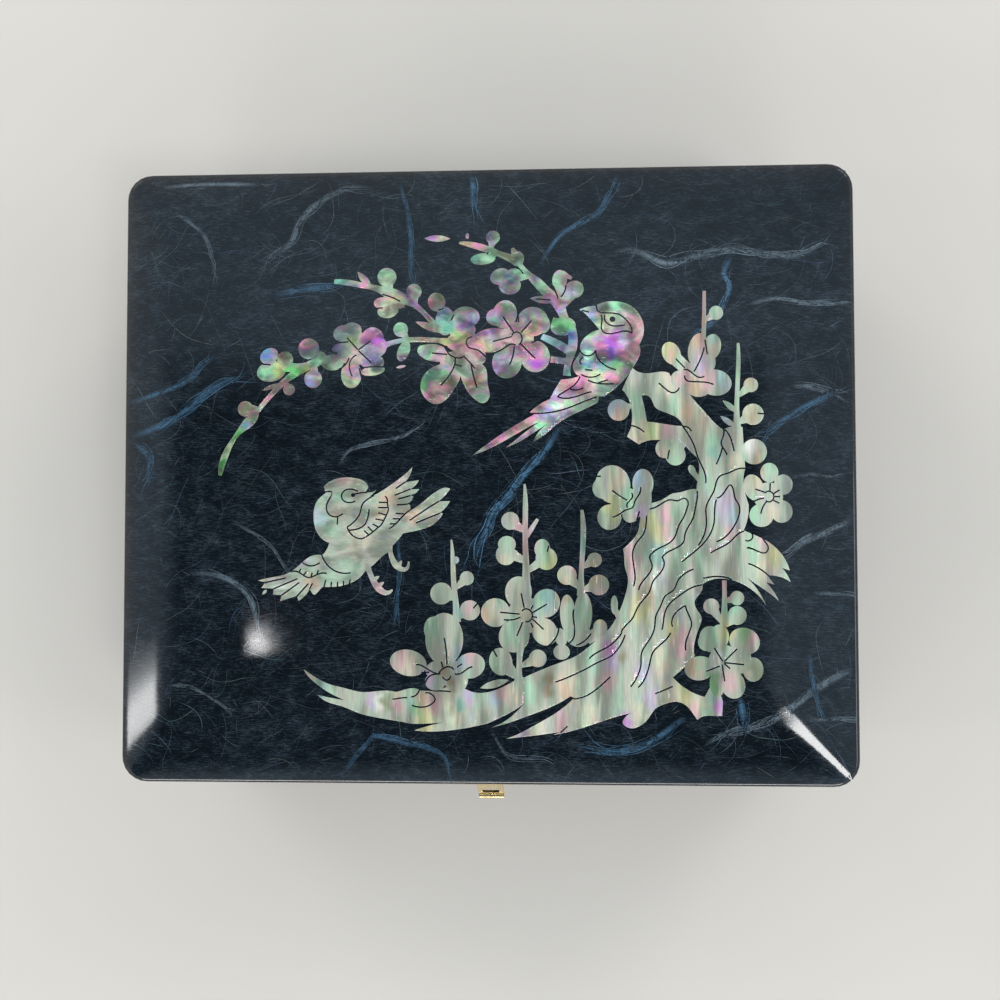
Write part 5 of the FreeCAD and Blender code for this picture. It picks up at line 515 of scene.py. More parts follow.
# Kinds of shell: stretch and turn of the growth lines, band size, detail and warp, share of the play of colour, and
# range of the clouds
SHELL_KINDS = {
    "vivid": ((0.75, 1.0, 1.0), 0.6, 0.2, 1.2, 1.2, 0.36, (0.46, 1.58)),
    "pale": ((0.6, 1.0, 1.0), 0.7, 0.3, 2.5, 1.0, 0.26, (0.64, 1.34)),
    "upright": ((1.0, 0.16, 1.0), -0.1, 0.5, 3.0, 0.8, 0.32, (0.6, 1.4)),
}
VIVID_PLAY = [(0.26, "#4a5258"), (0.34, "#4fc0ae"), (0.4, "#86e09a"), (0.46, "#d8d4b0"), (0.5, "#8a8f92"),
              (0.55, "#f2a2ba"), (0.61, "#cf68dc"), (0.67, "#6f5fc4"), (0.76, "#f6faf2")]
PALE_PLAY = [(0.24, "#7d8f88"), (0.36, "#a8dcc0"), (0.43, "#b4b9ae"), (0.5, "#bfb9a6"), (0.56, "#e6b9bd"),
             (0.62, "#b7bbb2"), (0.68, "#bda6de"), (0.76, "#f0efd0")]


def shell_finish(kind):
    """Mother-of-pearl: the piece's own tints, with growth lines and bands of pink, green and lilac."""
    stretch, turn, size, detail, warp, share, clouds = SHELL_KINDS[kind]
    finish = Finish("shell_" + kind)
    place = finish.millimetres()
    tint = finish.add("ShaderNodeAttribute", attribute_name="tint").outputs["Color"]
    run = finish.stretch(place, stretch, turn)
    fine = finish.stretch(place, tuple(part * 0.45 if part < 1 else part for part in stretch), turn)
    band = finish.noise(run, size, detail, 0.6, warp)
    play = finish.ramp(band, [(spot, shade(code)) for spot, code in (VIVID_PLAY if kind == "vivid" else PALE_PLAY)])
    tone = finish.mix(share, tint, play, "OVERLAY")
    cloud = finish.span(finish.noise(run, 0.26, 1.5, 0.5, 0.5), 0.32, 0.68, *clouds)
    streak = finish.span(finish.noise(fine, 2.4, 2, 0.6), 0.3, 0.7, 0.9, 1.09)
    scaled = finish.add("ShaderNodeVectorMath", {0: tone, "Scale": finish.math("MULTIPLY", cloud, streak)},
                        operation="SCALE")
    # painted highlight: small pale-green flecks of reflected light mixed into the shell's base colour
    painted_glint = finish.span(finish.noise(fine, 1.4, 2, 0.6, 0.8), 0.66, 0.74, 0, 0.45)
    tone = finish.mix(painted_glint, scaled.outputs[0], shade("#dfe9de"))
    return finish.set({"Base Color": tone, "Roughness": 0.1, "IOR": 1.5,
                       "Normal": finish.bump(streak, 0.1, 0.00005),
                       "Thin Film Thickness": finish.span(band, 0.3, 0.7, 260, 520), "Thin Film IOR": 1.7})


def satin_lacquer():
    finish = Finish("satin_lacquer")
    place = finish.millimetres()
    brushed = finish.noise(finish.stretch(place, (0.2, 0.2, 1.5)), 0.8, 3, 0.6)
    tone = finish.ramp(brushed, [(0.3, tuple(colours().rim)), (0.75, shade("#15120f"))])
    rough = finish.span(brushed, 0.3, 0.7, 0.29, 0.35)
    return finish.set({"Base Color": tone, "Roughness": rough, "Normal": finish.bump(brushed, 0.2, 0.0001)})


def velvet_finish():
    finish = Finish("velvet")
    place = finish.millimetres()
    nap = finish.noise(place, 0.07, 3, 0.6, 0.8)
    pile = finish.noise(place, 3.2, 2, 0.7)
    tone = tuple(colours().velvet)
    dark = tuple(part * 0.45 for part in tone)
    pale = tuple(min(1, part * 1.35 + 0.012) for part in tone)
    tone = finish.ramp(finish.total((nap, 0.5), (pile, 0.5)), [(0.34, dark), (0.5, tone), (0.68, pale)])
    return finish.set({"Base Color": tone, "Roughness": 0.9, "Sheen Weight": 0.7, "Sheen Roughness": 0.35,
                       "Sheen Tint": (0.85, 0.35, 0.42, 1), "Specular IOR Level": 0.2,
                       "Normal": finish.bump(pile, 0.5, 0.0002)})


def felt_finish():
    finish = Finish("felt")
    place = finish.millimetres()
    fluff = finish.noise(place, 1.6, 4, 0.7, 1.0)
    tone = tuple(colours().felt)
    tone = finish.ramp(fluff, [(0.3, tuple(part * 0.6 for part in tone)), (0.7, tuple(part * 1.7 for part in tone))])
    return finish.set({"Base Color": tone, "Roughness": 0.95, "Specular IOR Level": 0.1,
                       "Normal": finish.bump(fluff, 0.6, 0.0003)})


def board_finish():
    finish = Finish("bare_board")
    place = finish.millimetres()
    grain = finish.noise(finish.stretch(place, (0.06, 1.2, 1.2)), 1.0, 4, 0.6, 0.5)
    tone = finish.ramp(grain, [(0.3, shade("#7c5c3c")), (0.55, shade("#a9835a")), (0.75, shade("#c09a6e"))])
    return finish.set({"Base Color": tone, "Roughness": 0.6, "Normal": finish.bump(grain, 0.3, 0.0001)})


def card_finish():
    finish = Finish("grey_card")
    place = finish.millimetres()
    pulp = finish.noise(place, 1.4, 4, 0.7)
    tone = finish.ramp(pulp, [(0.3, shade("#5d5750")), (0.7, shade("#857d73"))])
    return finish.set({"Base Color": tone, "Roughness": 0.85, "Normal": finish.bump(pulp, 0.3, 0.0001)})


def brass_finish(name="gilt_brass", level=1.0):
    finish = Finish(name)
    place = finish.millimetres()
    tarnish = finish.noise(place, 0.35, 4, 0.65)
    scratch = finish.noise(finish.stretch(place, (0.15, 2.5, 2.5)), 2.0, 2, 0.6)
    tone = tuple(part * level for part in colours().brass)
    dull = tuple(part * shadow for part, shadow in zip(tone, (0.55, 0.5, 0.42)))
    tone = finish.mix(finish.span(tarnish, 0.46, 0.78, 0, 0.4), tone, dull)
    rough = finish.math("ADD", finish.span(tarnish, 0.4, 0.7, 0.18, 0.28),
                        finish.span(scratch, 0.4, 0.7, 0, 0.06))
    edge = finish.add("ShaderNodeBevel", {"Radius": 0.00018}, samples=4).outputs[0]
    return finish.set({"Base Color": tone, "Metallic": 1.0, "Roughness": rough,
                       "Normal": finish.bump(scratch, 0.12, 0.00005, edge)})


def glass_finish():
    finish = Finish("mirror_glass")
    place = finish.millimetres()
    dust = finish.noise(place, 0.5, 4, 0.7)
    tone = finish.ramp(dust, [(0.35, shade("#e9efee")), (0.8, shade("#e1e8e6"))])
    return finish.set({"Base Color": tone, "Metallic": 1.0, "Roughness": finish.span(dust, 0.55, 0.85, 0.008, 0.03)})


def floor_finish():
    finish = Finish("pale_table")
    place = finish.millimetres()
    cloud = finish.noise(place, 0.006, 3, 0.5)
    tone = tuple(colours().floor)
    tone = finish.mix(finish.span(cloud, 0.3, 0.7), tone, tuple(part * 0.96 for part in tone))
    return finish.set({"Base Color": tone, "Roughness": 0.75, "Specular IOR Level": 0.2})


FINISHES = {
    "paper": lacquered_paper, "fibre": lacquered_fibre, "shell_vivid": lambda: shell_finish("vivid"),
    "shell_pale": lambda: shell_finish("pale"), "shell_upright": lambda: shell_finish("upright"),
    "rim": satin_lacquer, "velvet": velvet_finish, "felt": felt_finish, "board": board_finish, "card": card_finish,
    "brass": brass_finish, "nails": lambda: brass_finish("nail_brass", 0.62), "glass": glass_finish,
    "floor": floor_finish,
}
made = {}


def finish_of(name):
    if name not in made:
        made[name] = FINISHES[name]()
    return made[name]


def outward(point):
    """Level direction out of the box at a place near its upright sides."""
    radius = mm("corner_radius")
    corner = Vector((HALF_LENGTH - radius, HALF_WIDTH - radius))
    over = Vector((abs(point.x), abs(point.y))) - corner
    if over.x > 0 and over.y > 0:
        way = over.normalized()
    else:
        way = Vector((1, 0)) if over.x > over.y else Vector((0, 1))
    return Vector((math.copysign(way.x, point.x), math.copysign(way.y, point.y), 0))


def fall(distance):
    """Drop of the lid's border at a distance from the flat."""
    width, drop = mm("crown_width"), mm("crown_drop")
    radius = (width ** 2 + drop ** 2) / (2 * drop)
    return radius - math.sqrt(radius ** 2 - max(0.0, distance) ** 2)


def hard_crown(x, y):
    """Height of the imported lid's top."""
    width = mm("crown_width")
    return LID_HIGH.z - max(fall(abs(x) - HALF_LENGTH + width), fall(abs(y) - HALF_WIDTH + width))


def crown(x, y):
    """Height of the lid's top with its borders melted together at the hips."""
    width = mm("crown_width")
    side, end = fall(abs(x) - HALF_LENGTH + width), fall(abs(y) - HALF_WIDTH + width)
    most = max(side, end)
    melt = mm("hip_softness") * min(1.0, most / 0.8)
    if abs(side - end) >= melt:
        return LID_HIGH.z - most
    share = 0.5 + 0.5 * (side - end) / melt
    return LID_HIGH.z - (end + (side - end) * share + melt * share * (1 - share))


def axis_way(axis):
    return Vector([1.0 if number == axis else 0.0 for number in range(3)])


def whole(bm):
    return bm.verts[:] + bm.edges[:] + bm.faces[:]


def boundary(bm):
    return [edge for edge in bm.edges if edge.is_boundary]


def rescale(bm, factor):
    bmesh.ops.scale(bm, vec=(factor, factor, factor), verts=bm.verts)


def round_off(bm, geom, offset, segments, affect="EDGES"):
    bmesh.ops.bevel(bm, geom=geom, offset=offset, offset_type="OFFSET", segments=segments, profile=0.5, affect=affect,
                    material=-1)


def extruded(bm, edges):
    """The new points of extruded edges."""
    geom = bmesh.ops.extrude_edge_only(bm, edges=edges)["geom"]
    return [item for item in geom if isinstance(item, bmesh.types.BMVert)]


def push_out(bm, steps):
    """Extrudes the open edge in steps of outward and downward travel."""
    for out, down in steps:
        for vert in extruded(bm, boundary(bm)):
            vert.co += outward(vert.co) * out - Vector((0, 0, down))


def stop_cut(bm, sign):
    """Cuts the back edge away on the slope that stops the open lid: -1 below the hinge, +1 above it."""
    slope = sizes().stop_bevel
    away = Vector((0, math.sin(slope), -sign * math.cos(slope)))
    bmesh.ops.bisect_plane(bm, geom=whole(bm), dist=1e-5, plane_co=(0, HINGE_Y, HINGE_Z), plane_no=away,
                           clear_outer=True)


def mesh_of(bm, name):
    """Writes a drawing into a new mesh."""
    mesh = bpy.data.meshes.new(name)
    bm.to_mesh(mesh)
    bm.free()
    return mesh


def finish_piece(bm, name, body, finish, replaces=(), sharp=40.0):
    """Turns a drawing in millimetres into a piece that rides on a body."""
    rescale(bm, MM)
    for face in bm.faces:
        face.smooth = True
    mesh = mesh_of(bm, name)
    mesh.set_sharp_from_angle(angle=math.radians(sharp))
    mesh.materials.append(finish_of(finish))
    piece = bpy.data.objects.new(name, mesh)
    bpy.context.scene.collection.objects.link(piece)
    if replaces:
        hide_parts(*replaces)
    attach(piece, body)
    return piece


def paint_node(name, finish):
    """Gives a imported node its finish."""
    mesh = frame["nodes"][name].data
    mesh.materials.clear()
    mesh.materials.append(finish_of(finish))


def lay_paper(bm, place):
    """Writes the paper's own map: where each corner of a face lies on the sheet, in metres."""
    layer = bm.loops.layers.uv.new("paper")
    for vert in bm.verts:
        x, y = place(vert.co)
        for loop in vert.link_loops:
            loop[layer].uv = (x / PER_METRE, y / PER_METRE)


def lid_sheet(point):
    """Place on the sheet of paper that is folded over the lid."""
    down = max(0.0, crown(max(-HALF_LENGTH, min(HALF_LENGTH, point.x)),
                          max(-HALF_WIDTH, min(HALF_WIDTH, point.y))) - point.z)
    way = outward(point)
    return point.x + way.x * down, point.y + way.y * down


def wall_sheet(point):
    """Place on the strip of paper round the box."""
    return point.x + point.y + WALL_PAPER_SHIFT, point.z


class LACQUERBOX_OT_lid_skin(bpy.types.Operator):
    """Make the crowned lid's skin of lacquered paper"""
    bl_idname = "lacquer_box.lid_skin"
    bl_label = "Lid skin"

    def execute(self, context):
        rim = mm("rim_round")
        width, drop = mm("crown_width"), mm("crown_drop")
        edge, start = [], 2 * math.atan(drop / width)
        for end, share in RIM_ARCS:
            stop, bend = math.radians(end), rim * share
            angles = [start + (stop - start) * step / 3 for step in range(4)]
            edge += [(bend * (math.sin(b) - math.sin(a)), bend * (math.cos(a) - math.cos(b)))
                     for a, b in zip(angles, angles[1:])]
            start = stop
        reach = sum(out for out, down in edge)
        half = Vector((HALF_LENGTH - reach, HALF_WIDTH - reach))
        radius = mm("corner_radius") - reach
        bm = bmesh.new()
        bmesh.ops.create_grid(bm, x_segments=100, y_segments=84, size=1)
        for vert in bm.verts:
            x, y = vert.co.x * half.x, vert.co.y * half.y
            over = Vector((abs(x) - half.x + radius, abs(y) - half.y + radius)) / radius
            if over.x > 0 and over.y > 0:
                x = math.copysign(half.x - radius + radius * over.x * math.sqrt(1 - over.y ** 2 / 2), x)
                y = math.copysign(half.y - radius + radius * over.y * math.sqrt(1 - over.x ** 2 / 2), y)
            vert.co = (x, y, crown(x, y))
        push_out(bm, edge)
        for vert in extruded(bm, boundary(bm)):
            vert.co.z = LID_LOW.z
        stop_cut(bm, 1)
        bmesh.ops.recalc_face_normals(bm, faces=bm.faces)
        bmesh.ops.solidify(bm, geom=bm.faces[:], thickness=mm("skin"))
        lay_paper(bm, lid_sheet)
        finish_piece(bm, "lid_paper_skin", "lid", "paper", ["lid_skin"], 50)
        return {"FINISHED"}


class LACQUERBOX_OT_body_skin(bpy.types.Operator):
    """Make the skin of lacquered paper round the box's walls"""
    bl_idname = "lacquer_box.body_skin"
    bl_label = "Body skin"

    def execute(self, context):
        bm = bmesh.new()
        bmesh.ops.create_grid(bm, x_segments=1, y_segments=1, size=1)
        bmesh.ops.scale(bm, vec=(HALF_LENGTH, HALF_WIDTH, 1), verts=bm.verts)
        bmesh.ops.translate(bm, vec=(0, 0, BODY_HIGH.z), verts=bm.verts)
        round_off(bm, bm.verts[:], mm("corner_radius"), 10, "VERTICES")
        bmesh.ops.delete(bm, geom=bm.faces[:], context="FACES_ONLY")
        for vert in bm.verts:
            vert.co -= outward(vert.co) * SKIN_EDGE
        loop = bm.edges[:]
        profile = [(SKIN_EDGE * out, SKIN_EDGE * down) for out, down in SKIN_STEPS]
        profile += [(0, BODY_HIGH.z - BODY_LOW.z - 2 * SKIN_EDGE), *((-out, down) for out, down in reversed(profile))]
        for out, down in profile:
            verts = set(extruded(bm, loop))
            for vert in verts:
                vert.co += outward(vert.co) * out - Vector((0, 0, down))
            loop = [edge for edge in bm.edges if set(edge.verts) <= verts]
        stop_cut(bm, -1)
        bmesh.ops.recalc_face_normals(bm, faces=bm.faces)
        front = min(bm.faces, key=lambda face: face.calc_center_median().y)
        if front.normal.y > 0:
            bmesh.ops.reverse_faces(bm, faces=bm.faces)
        bmesh.ops.solidify(bm, geom=bm.faces[:], thickness=mm("skin"))
        lay_paper(bm, wall_sheet)
        finish_piece(bm, "body_paper_skin", "box", "paper", ["body_skin"], 50)
        return {"FINISHED"}


def smooth_line(points, step):
    """Points along a smooth curve through given ones."""
    ends = [points[0] * 2 - points[1], *points, points[-1] * 2 - points[-2]]
    line = []
    for number in range(1, len(ends) - 2):
        before, here, there, after = ends[number - 1:number + 3]
        count = max(2, int((there - here).length / step))
        for part in range(count):
            t = part / count
            line.append(0.5 * (2 * here + (there - before) * t + (2 * before - 5 * here + 4 * there - after) * t ** 2
                               + (3 * here - before - 3 * there + after) * t ** 3))
    return line + [points[-1]]


class Fibre:
    """One fibre: its middle line on the sheet, its width, its tone and how clearly it shows."""

    def __init__(self, line, width, tone, strength, place):
        self.line, self.width, self.tone, self.strength, self.place = line, width, tone, strength, place

    def sides(self, number, lift):
        """The two sides of the strip at one of the line's points."""
        line = self.line
        way = line[min(number + 1, len(line) - 1)] - line[max(number - 1, 0)]
        across = Vector((-way.y, way.x)).normalized() * self.width / 2
        return self.place(line[number] + across, lift), self.place(line[number] - across, lift)

    def clearness(self, number):
        last = len(self.line) - 1
        return self.strength * min(1.0, 4 * number / last, 4 * (last - number) / last)


def wander(dice, start, heading, length, step=0.9, sway=0.04):
    """A gently wandering line."""
    turn = dice.gauss(0, sway)
    line = [start]
    for _ in range(max(3, int(length / step))):
        turn = turn * 0.9 + dice.gauss(0, sway)
        heading += turn
        line.append(line[-1] + Vector((math.cos(heading), math.sin(heading))) * step)
    return line


def kept_inside(line, low, high):
    """The first run of a line that stays between two corners."""
    kept = []
    for point in line:
        if not (low[0] <= point.x <= high[0] and low[1] <= point.y <= high[1]):
            break
        kept.append(point)
    return kept


def bundle(dice, line, width, tone, strength, place):
    """A thick fibre: a soft band with finer fibres that run along it and fray at its ends."""
    fibres = [Fibre(line, width * 1.15, tone, strength * 0.85, place)]
    for _ in range(int(3 + width * 2.5)):
        first = dice.randrange(0, max(1, len(line) * 2 // 3))
        last = min(len(line), first + dice.randrange(len(line) // 3 + 3, len(line) + 3))
        if last - first < 4:
            continue
        aside, phase = dice.uniform(-0.5, 0.5) * width, dice.uniform(0, 40)
        strand = []
        for number in range(first, last):
            way = line[min(number + 1, len(line) - 1)] - line[max(number - 1, 0)]
            across = Vector((-way.y, way.x)).normalized()
            stray = width * 0.7 * noise.noise(Vector((number * 0.16, phase, 0)))
            strand.append(line[number] + across * (aside + stray))
        if last == len(line):
            way = strand[-1] - strand[-2]
            strand += wander(dice, strand[-1], math.atan2(way.y, way.x) + dice.gauss(0, 0.3), dice.uniform(2, 6))[1:]
        fibres.append(Fibre(strand, dice.uniform(0.18, 0.42), tuple(min(1, part * 1.3) for part in tone),
                            strength * dice.uniform(0.55, 1.0), place))
    return fibres


def lay_fibres(fibres, name, body, sheet, facing):
    """Makes one piece of narrow strips, each a hair's breadth above the one before."""
    bm = bmesh.new()
    paper, across = bm.loops.layers.uv.new("paper"), bm.loops.layers.uv.new("fibre")
    thread = bm.loops.layers.float_color.new("thread")
    spine, facts = [], {}
    for count, fibre in enumerate(fibres):
        verts = []
        for number in range(len(fibre.line)):
            here, there = fibre.sides(number, mm("strand_lift") + FIBRE_STEP * (count % FIBRE_STEPS))
            verts.append(bm.verts.new(here))
            facts[verts[-1]] = (fibre, number, there)
        spine += [bm.edges.new(pair) for pair in zip(verts, verts[1:])]
    partner = {}
    for vert in extruded(bm, spine):
        partner[vert] = next(edge.other_vert(vert) for edge in vert.link_edges if edge.other_vert(vert) in facts)
        vert.co = facts[partner[vert]][2]
    bmesh.ops.delete(bm, geom=[face for face in bm.faces if face.calc_area() < 1e-4], context="FACES")
    bm.normal_update()
    for face in bm.faces:
        if face.normal.dot(facing(face.calc_center_median())) < 0:
            face.normal_flip()
        for loop in face.loops:
            vert = loop.vert
            fibre, number, _ = facts[partner.get(vert, vert)]
            x, y = sheet(vert.co)
            loop[paper].uv = (x / PER_METRE, y / PER_METRE)
            loop[across].uv = (1.0 if vert in partner else 0.0, number / 10)
            loop[thread] = (*fibre.tone, fibre.clearness(number))
    return finish_piece(bm, name, body, "fibre")


class LACQUERBOX_OT_fibres(bpy.types.Operator):
    """Lay the long fibres and fine hairs of the paper on the lid and the walls"""
    bl_idname = "lacquer_box.fibres"
    bl_label = "Paper fibres"

    def execute(self, context):
        dice = random.Random(FIBRE_SEED)
        end_x, end_y = HALF_LENGTH - STRAND_ROOM, HALF_WIDTH - STRAND_ROOM

        def on_lid(point, lift):
            x, y = max(-end_x, min(end_x, point.x)), max(-end_y, min(end_y, point.y))
            return Vector((x, y, crown(x, y) + lift))

        fibres = []
        for width, strength, dyed, places in STRANDS:
            line = smooth_line([Vector(place) for place in places], 1.2)
            fibres += bundle(dice, line, width, self.tone(dyed), strength, on_lid)
        edge = (HALF_LENGTH - HAIR_ROOM, HALF_WIDTH - HAIR_ROOM)
        for _ in range(sizes().hairs):
            start = Vector((dice.uniform(-edge[0], edge[0]), dice.uniform(-edge[1], edge[1])))
            fibres += self.hair(dice, start, on_lid, (-edge[0], -edge[1]), edge)
        lay_fibres(fibres, "lid_paper_fibres", "lid", lid_sheet, lambda place: Vector((0, 0, 1)))
        self.walls(dice, "lid_side_fibres", "lid", LID_LOW.z + SIDE_FROM, LID_LOW.z + SIDE_TO,
                   *LID_SIDE_FIBRES)
        self.walls(dice, "body_paper_fibres", "box", BODY_LOW.z + SIDE_FROM, BODY_HIGH.z - SIDE_FROM,
                   *WALL_FIBRES)
        return {"FINISHED"}

    def tone(self, dyed):
        return tuple(colours().strand_blue if dyed else colours().strand_grey)

    def hair(self, dice, start, place, low, high):
        """One fine hair that ends at the sheet's edge, or none where it would be too short."""
        line = wander(dice, start, dice.gauss(0.35, 0.8), 3 + 22 * dice.random() ** 2)
        line = kept_inside(line, low, high)
        tone = tuple(part * dice.uniform(0.8, 1.3) for part in self.tone(dice.random() < 0.2))
        fibre = Fibre(line, dice.uniform(0.12, 0.26), tone, 0.06 + 0.36 * dice.random() ** 2, place)
        return [fibre] if len(line) > 3 else []

    def walls(self, dice, name, body, low, high, strands, hairs):
        """Fibres on the upright sides between two heights."""
        radius = mm("corner_radius")
        fibres = []
        for side in ("front", "back", "left", "right"):
            long = side in ("front", "back")
            half = (HALF_LENGTH if long else HALF_WIDTH) - radius
            bottom = low + (STOP_ROOM if side == "back" and body == "lid" else 0)
            top = high - (STOP_ROOM if side == "back" and body == "box" else 0)
            sign = -1 if side in ("front", "left") else 1

            def on_wall(point, lift, half=half, bottom=bottom, top=top, sign=sign, long=long):
                along, height = max(-half, min(half, point.x)), max(bottom, min(top, point.y))
                if long:
                    return Vector((along, sign * (HALF_WIDTH + lift), height))
                return Vector((sign * (HALF_LENGTH + lift), along, height))

            share = half / (2 * (HALF_LENGTH + HALF_WIDTH - 2 * radius))
            for _ in range(int(strands * share)):
                start = Vector((dice.uniform(-half, half), dice.uniform(bottom, top)))
                line = wander(dice, start, dice.gauss(0.2, 0.7), dice.uniform(18, 45), 1.2)
                line = kept_inside(line, (3 - half, bottom + 2), (half - 3, top - 2))
                if len(line) > 9:
                    fibres += bundle(dice, line, dice.uniform(1.1, 2.2), self.tone(dice.random() < 0.5),
                                     dice.uniform(0.4, 0.65), on_wall)
            for _ in range(int(hairs * share)):
                start = Vector((dice.uniform(-half, half), dice.uniform(bottom, top)))
                fibres += self.hair(dice, start, on_wall, (-half, bottom), (half, top))
        lay_fibres(fibres, name, body, lid_sheet if body == "lid" else wall_sheet, outward)


def halve(bm, faces, axis, places):
    """Cuts faces at places along an axis, the middle one first."""
    if not places or not faces:
        return
    middle = len(places) // 2
    way = axis_way(axis)
    edges = {edge for face in faces for edge in face.edges}
    verts = {vert for face in faces for vert in face.verts}
    cut = bmesh.ops.bisect_plane(bm, geom=[*verts, *edges, *faces], dist=1e-4, plane_co=way * places[middle],
                                 plane_no=way)["geom"]
    sides = ([], [])
    for face in cut:
        if isinstance(face, bmesh.types.BMFace):
            sides[face.calc_center_median()[axis] > places[middle]].append(face)
    halve(bm, sides[0], axis, places[:middle])
    halve(bm, sides[1], axis, places[middle + 1:])


class LACQUERBOX_OT_shells(bpy.types.Operator):
    """Lay the cut shell motifs on the lid"""
    bl_idname = "lacquer_box.shells"
    bl_label = "Shell motifs"

    def execute(self, context):
        noise.seed_set(TINT_SEED)
        for node, facts in SHELLS.items():
            self.motif(node, *facts)
        return {"FINISHED"}

    def motif(self, node, base, kind, level, depth, spots):
        bm = bmesh.new()
        bm.from_mesh(frame["nodes"][node].data)
        rescale(bm, PER_METRE)
        bmesh.ops.remove_doubles(bm, verts=bm.verts, dist=0.0005)
        low, high = node_box(node)
        step = mm("shell_step")
        for axis in (0, 1):
            places = [low[axis] + step * number for number in range(1, int((high[axis] - low[axis]) / step) + 1)]
            halve(bm, [face for face in bm.faces if face.normal.z > 0.5], axis, places)
        near = {}
        for x, y, reach, tint in spots:
            for column in range(math.floor((x - 2 * reach) / CELL), math.floor((x + 2 * reach) / CELL) + 1):
                for row in range(math.floor((y - 2 * reach) / CELL), math.floor((y + 2 * reach) / CELL) + 1):
                    near.setdefault((column, row), []).append((x, y, reach, Vector(shade(TINTS[tint]))))
        layer = bm.verts.layers.float_color.new("tint")
        for vert in bm.verts:
            x, y = vert.co.x, vert.co.y
            vert[layer] = (*self.tint(x, y, Vector(shade(TINTS[base])), near, depth, kind == "upright") * level, 1)
            vert.co.z = crown(x, y) + (vert.co.z - hard_crown(x, y)) * sizes().shell_rise
        return finish_piece(bm, node + "_piece", "lid", "shell_" + kind, [node], 35)

    def tint(self, x, y, base, near, depth, upright):
        """Blend of the spots near a place, with wavering borders, drawn out along upright grain."""
        waver = noise.noise_vector(Vector((x * WAVER_SCALE, y * WAVER_SCALE, 3.0)))
        x, y = x + waver.x * WAVER, y + waver.y * WAVER
        total, tone = BASE_WEIGHT, base * BASE_WEIGHT
        for spot_x, spot_y, reach, own in near.get((math.floor(x / CELL), math.floor(y / CELL)), ()):
            rise = (y - spot_y) * (GRAIN_STRETCH if upright else 1.0)
            weight = math.exp(-SPOT_FADE * ((x - spot_x) ** 2 + rise ** 2) / (reach * reach))
            total += weight
            tone = tone + own * weight
        return base.lerp(tone / total, depth)


class LACQUERBOX_OT_boards(bpy.types.Operator):
    """Finish the boards, the rails and the felt"""
    bl_idname = "lacquer_box.boards"
    bl_label = "Boards and felt"

    def execute(self, context):
        for name in ("front_wall", "back_wall", "left_wall", "right_wall", "lid_front_rail", "lid_back_rail",
                     "lid_left_rail", "lid_right_rail"):
            paint_node(name, "rim")
        for name in ("base_panel", "lid_top_panel"):
            paint_node(name, "board")
        low, high = node_box("base_felt")
        bm = bmesh.new()
        bmesh.ops.create_grid(bm, x_segments=1, y_segments=1, size=1)
        bmesh.ops.scale(bm, vec=(high.x, high.y, 1), verts=bm.verts)
        bmesh.ops.translate(bm, vec=(0, 0, low.z), verts=bm.verts)
        round_off(bm, bm.verts[:], FELT_CORNER, 6, "VERTICES")
        top = bmesh.ops.extrude_face_region(bm, geom=bm.faces[:])["geom"]
        bmesh.ops.translate(bm, vec=(0, 0, high.z - low.z), verts=[v for v in top if isinstance(v, bmesh.types.BMVert)])
        rims = [edge for edge in bm.edges if abs(edge.verts[0].co.z - edge.verts[1].co.z) < 1e-6]
        round_off(bm, rims, FELT_ROUND, 2)
        bmesh.ops.recalc_face_normals(bm, faces=bm.faces)
        finish_piece(bm, "felt_pad", "box", "felt", ["base_felt"])
        return {"FINISHED"}


def covered_card(name, node, body, rounding, puff=0.0):
    """A card wrapped in velvet: a block with rounded edges and faces that swell a little."""
    low, high = node_box(node)
    bm = bmesh.new()
    bmesh.ops.create_cube(bm, size=1)
    bmesh.ops.scale(bm, vec=high - low, verts=bm.verts)
    bmesh.ops.translate(bm, vec=(low + high) / 2, verts=bm.verts)
    round_off(bm, bm.edges[:], rounding, 3)
    size = high - low
    for axis in range(3):
        way = axis_way(axis)
        count = int(size[axis] / CARD_CUT)
        for number in range(1, count):
            bmesh.ops.bisect_plane(bm, geom=whole(bm), dist=1e-4, plane_co=low + way * size[axis] * number / count,
                                   plane_no=way)
    if puff:
        for vert in bm.verts:
            wave = noise.noise(vert.co * 0.06 + Vector((len(name), 0, 0)))
            vert.co += (vert.co - (low + high) / 2).normalized() * wave * puff
            vert.co = Vector([min(max(part, least), most) for part, least, most in zip(vert.co, low, high)])
    return finish_piece(bm, name, body, "velvet", [node])


class LACQUERBOX_OT_linings(bpy.types.Operator):
    """Make the velvet-covered linings and partitions"""
    bl_idname = "lacquer_box.linings"
    bl_label = "Velvet linings"

    def execute(self, context):
        rounding = mm("card_round")
        for node in ("floor_lining", "front_lining", "back_lining", "left_lining", "right_lining"):
            covered_card(node + "_velvet", node, "box", rounding)
        for node in ("long_divider", "cross_divider"):
            covered_card(node + "_velvet", node, "box", rounding * 2.4)
        covered_card("lid_lining_velvet", "lid_lining", "lid", rounding)
        return {"FINISHED"}


def evaluated_mesh(piece):
    """A new mesh with the piece's modifiers worked in."""
    return bpy.data.meshes.new_from_object(piece.evaluated_get(bpy.context.evaluated_depsgraph_get()))


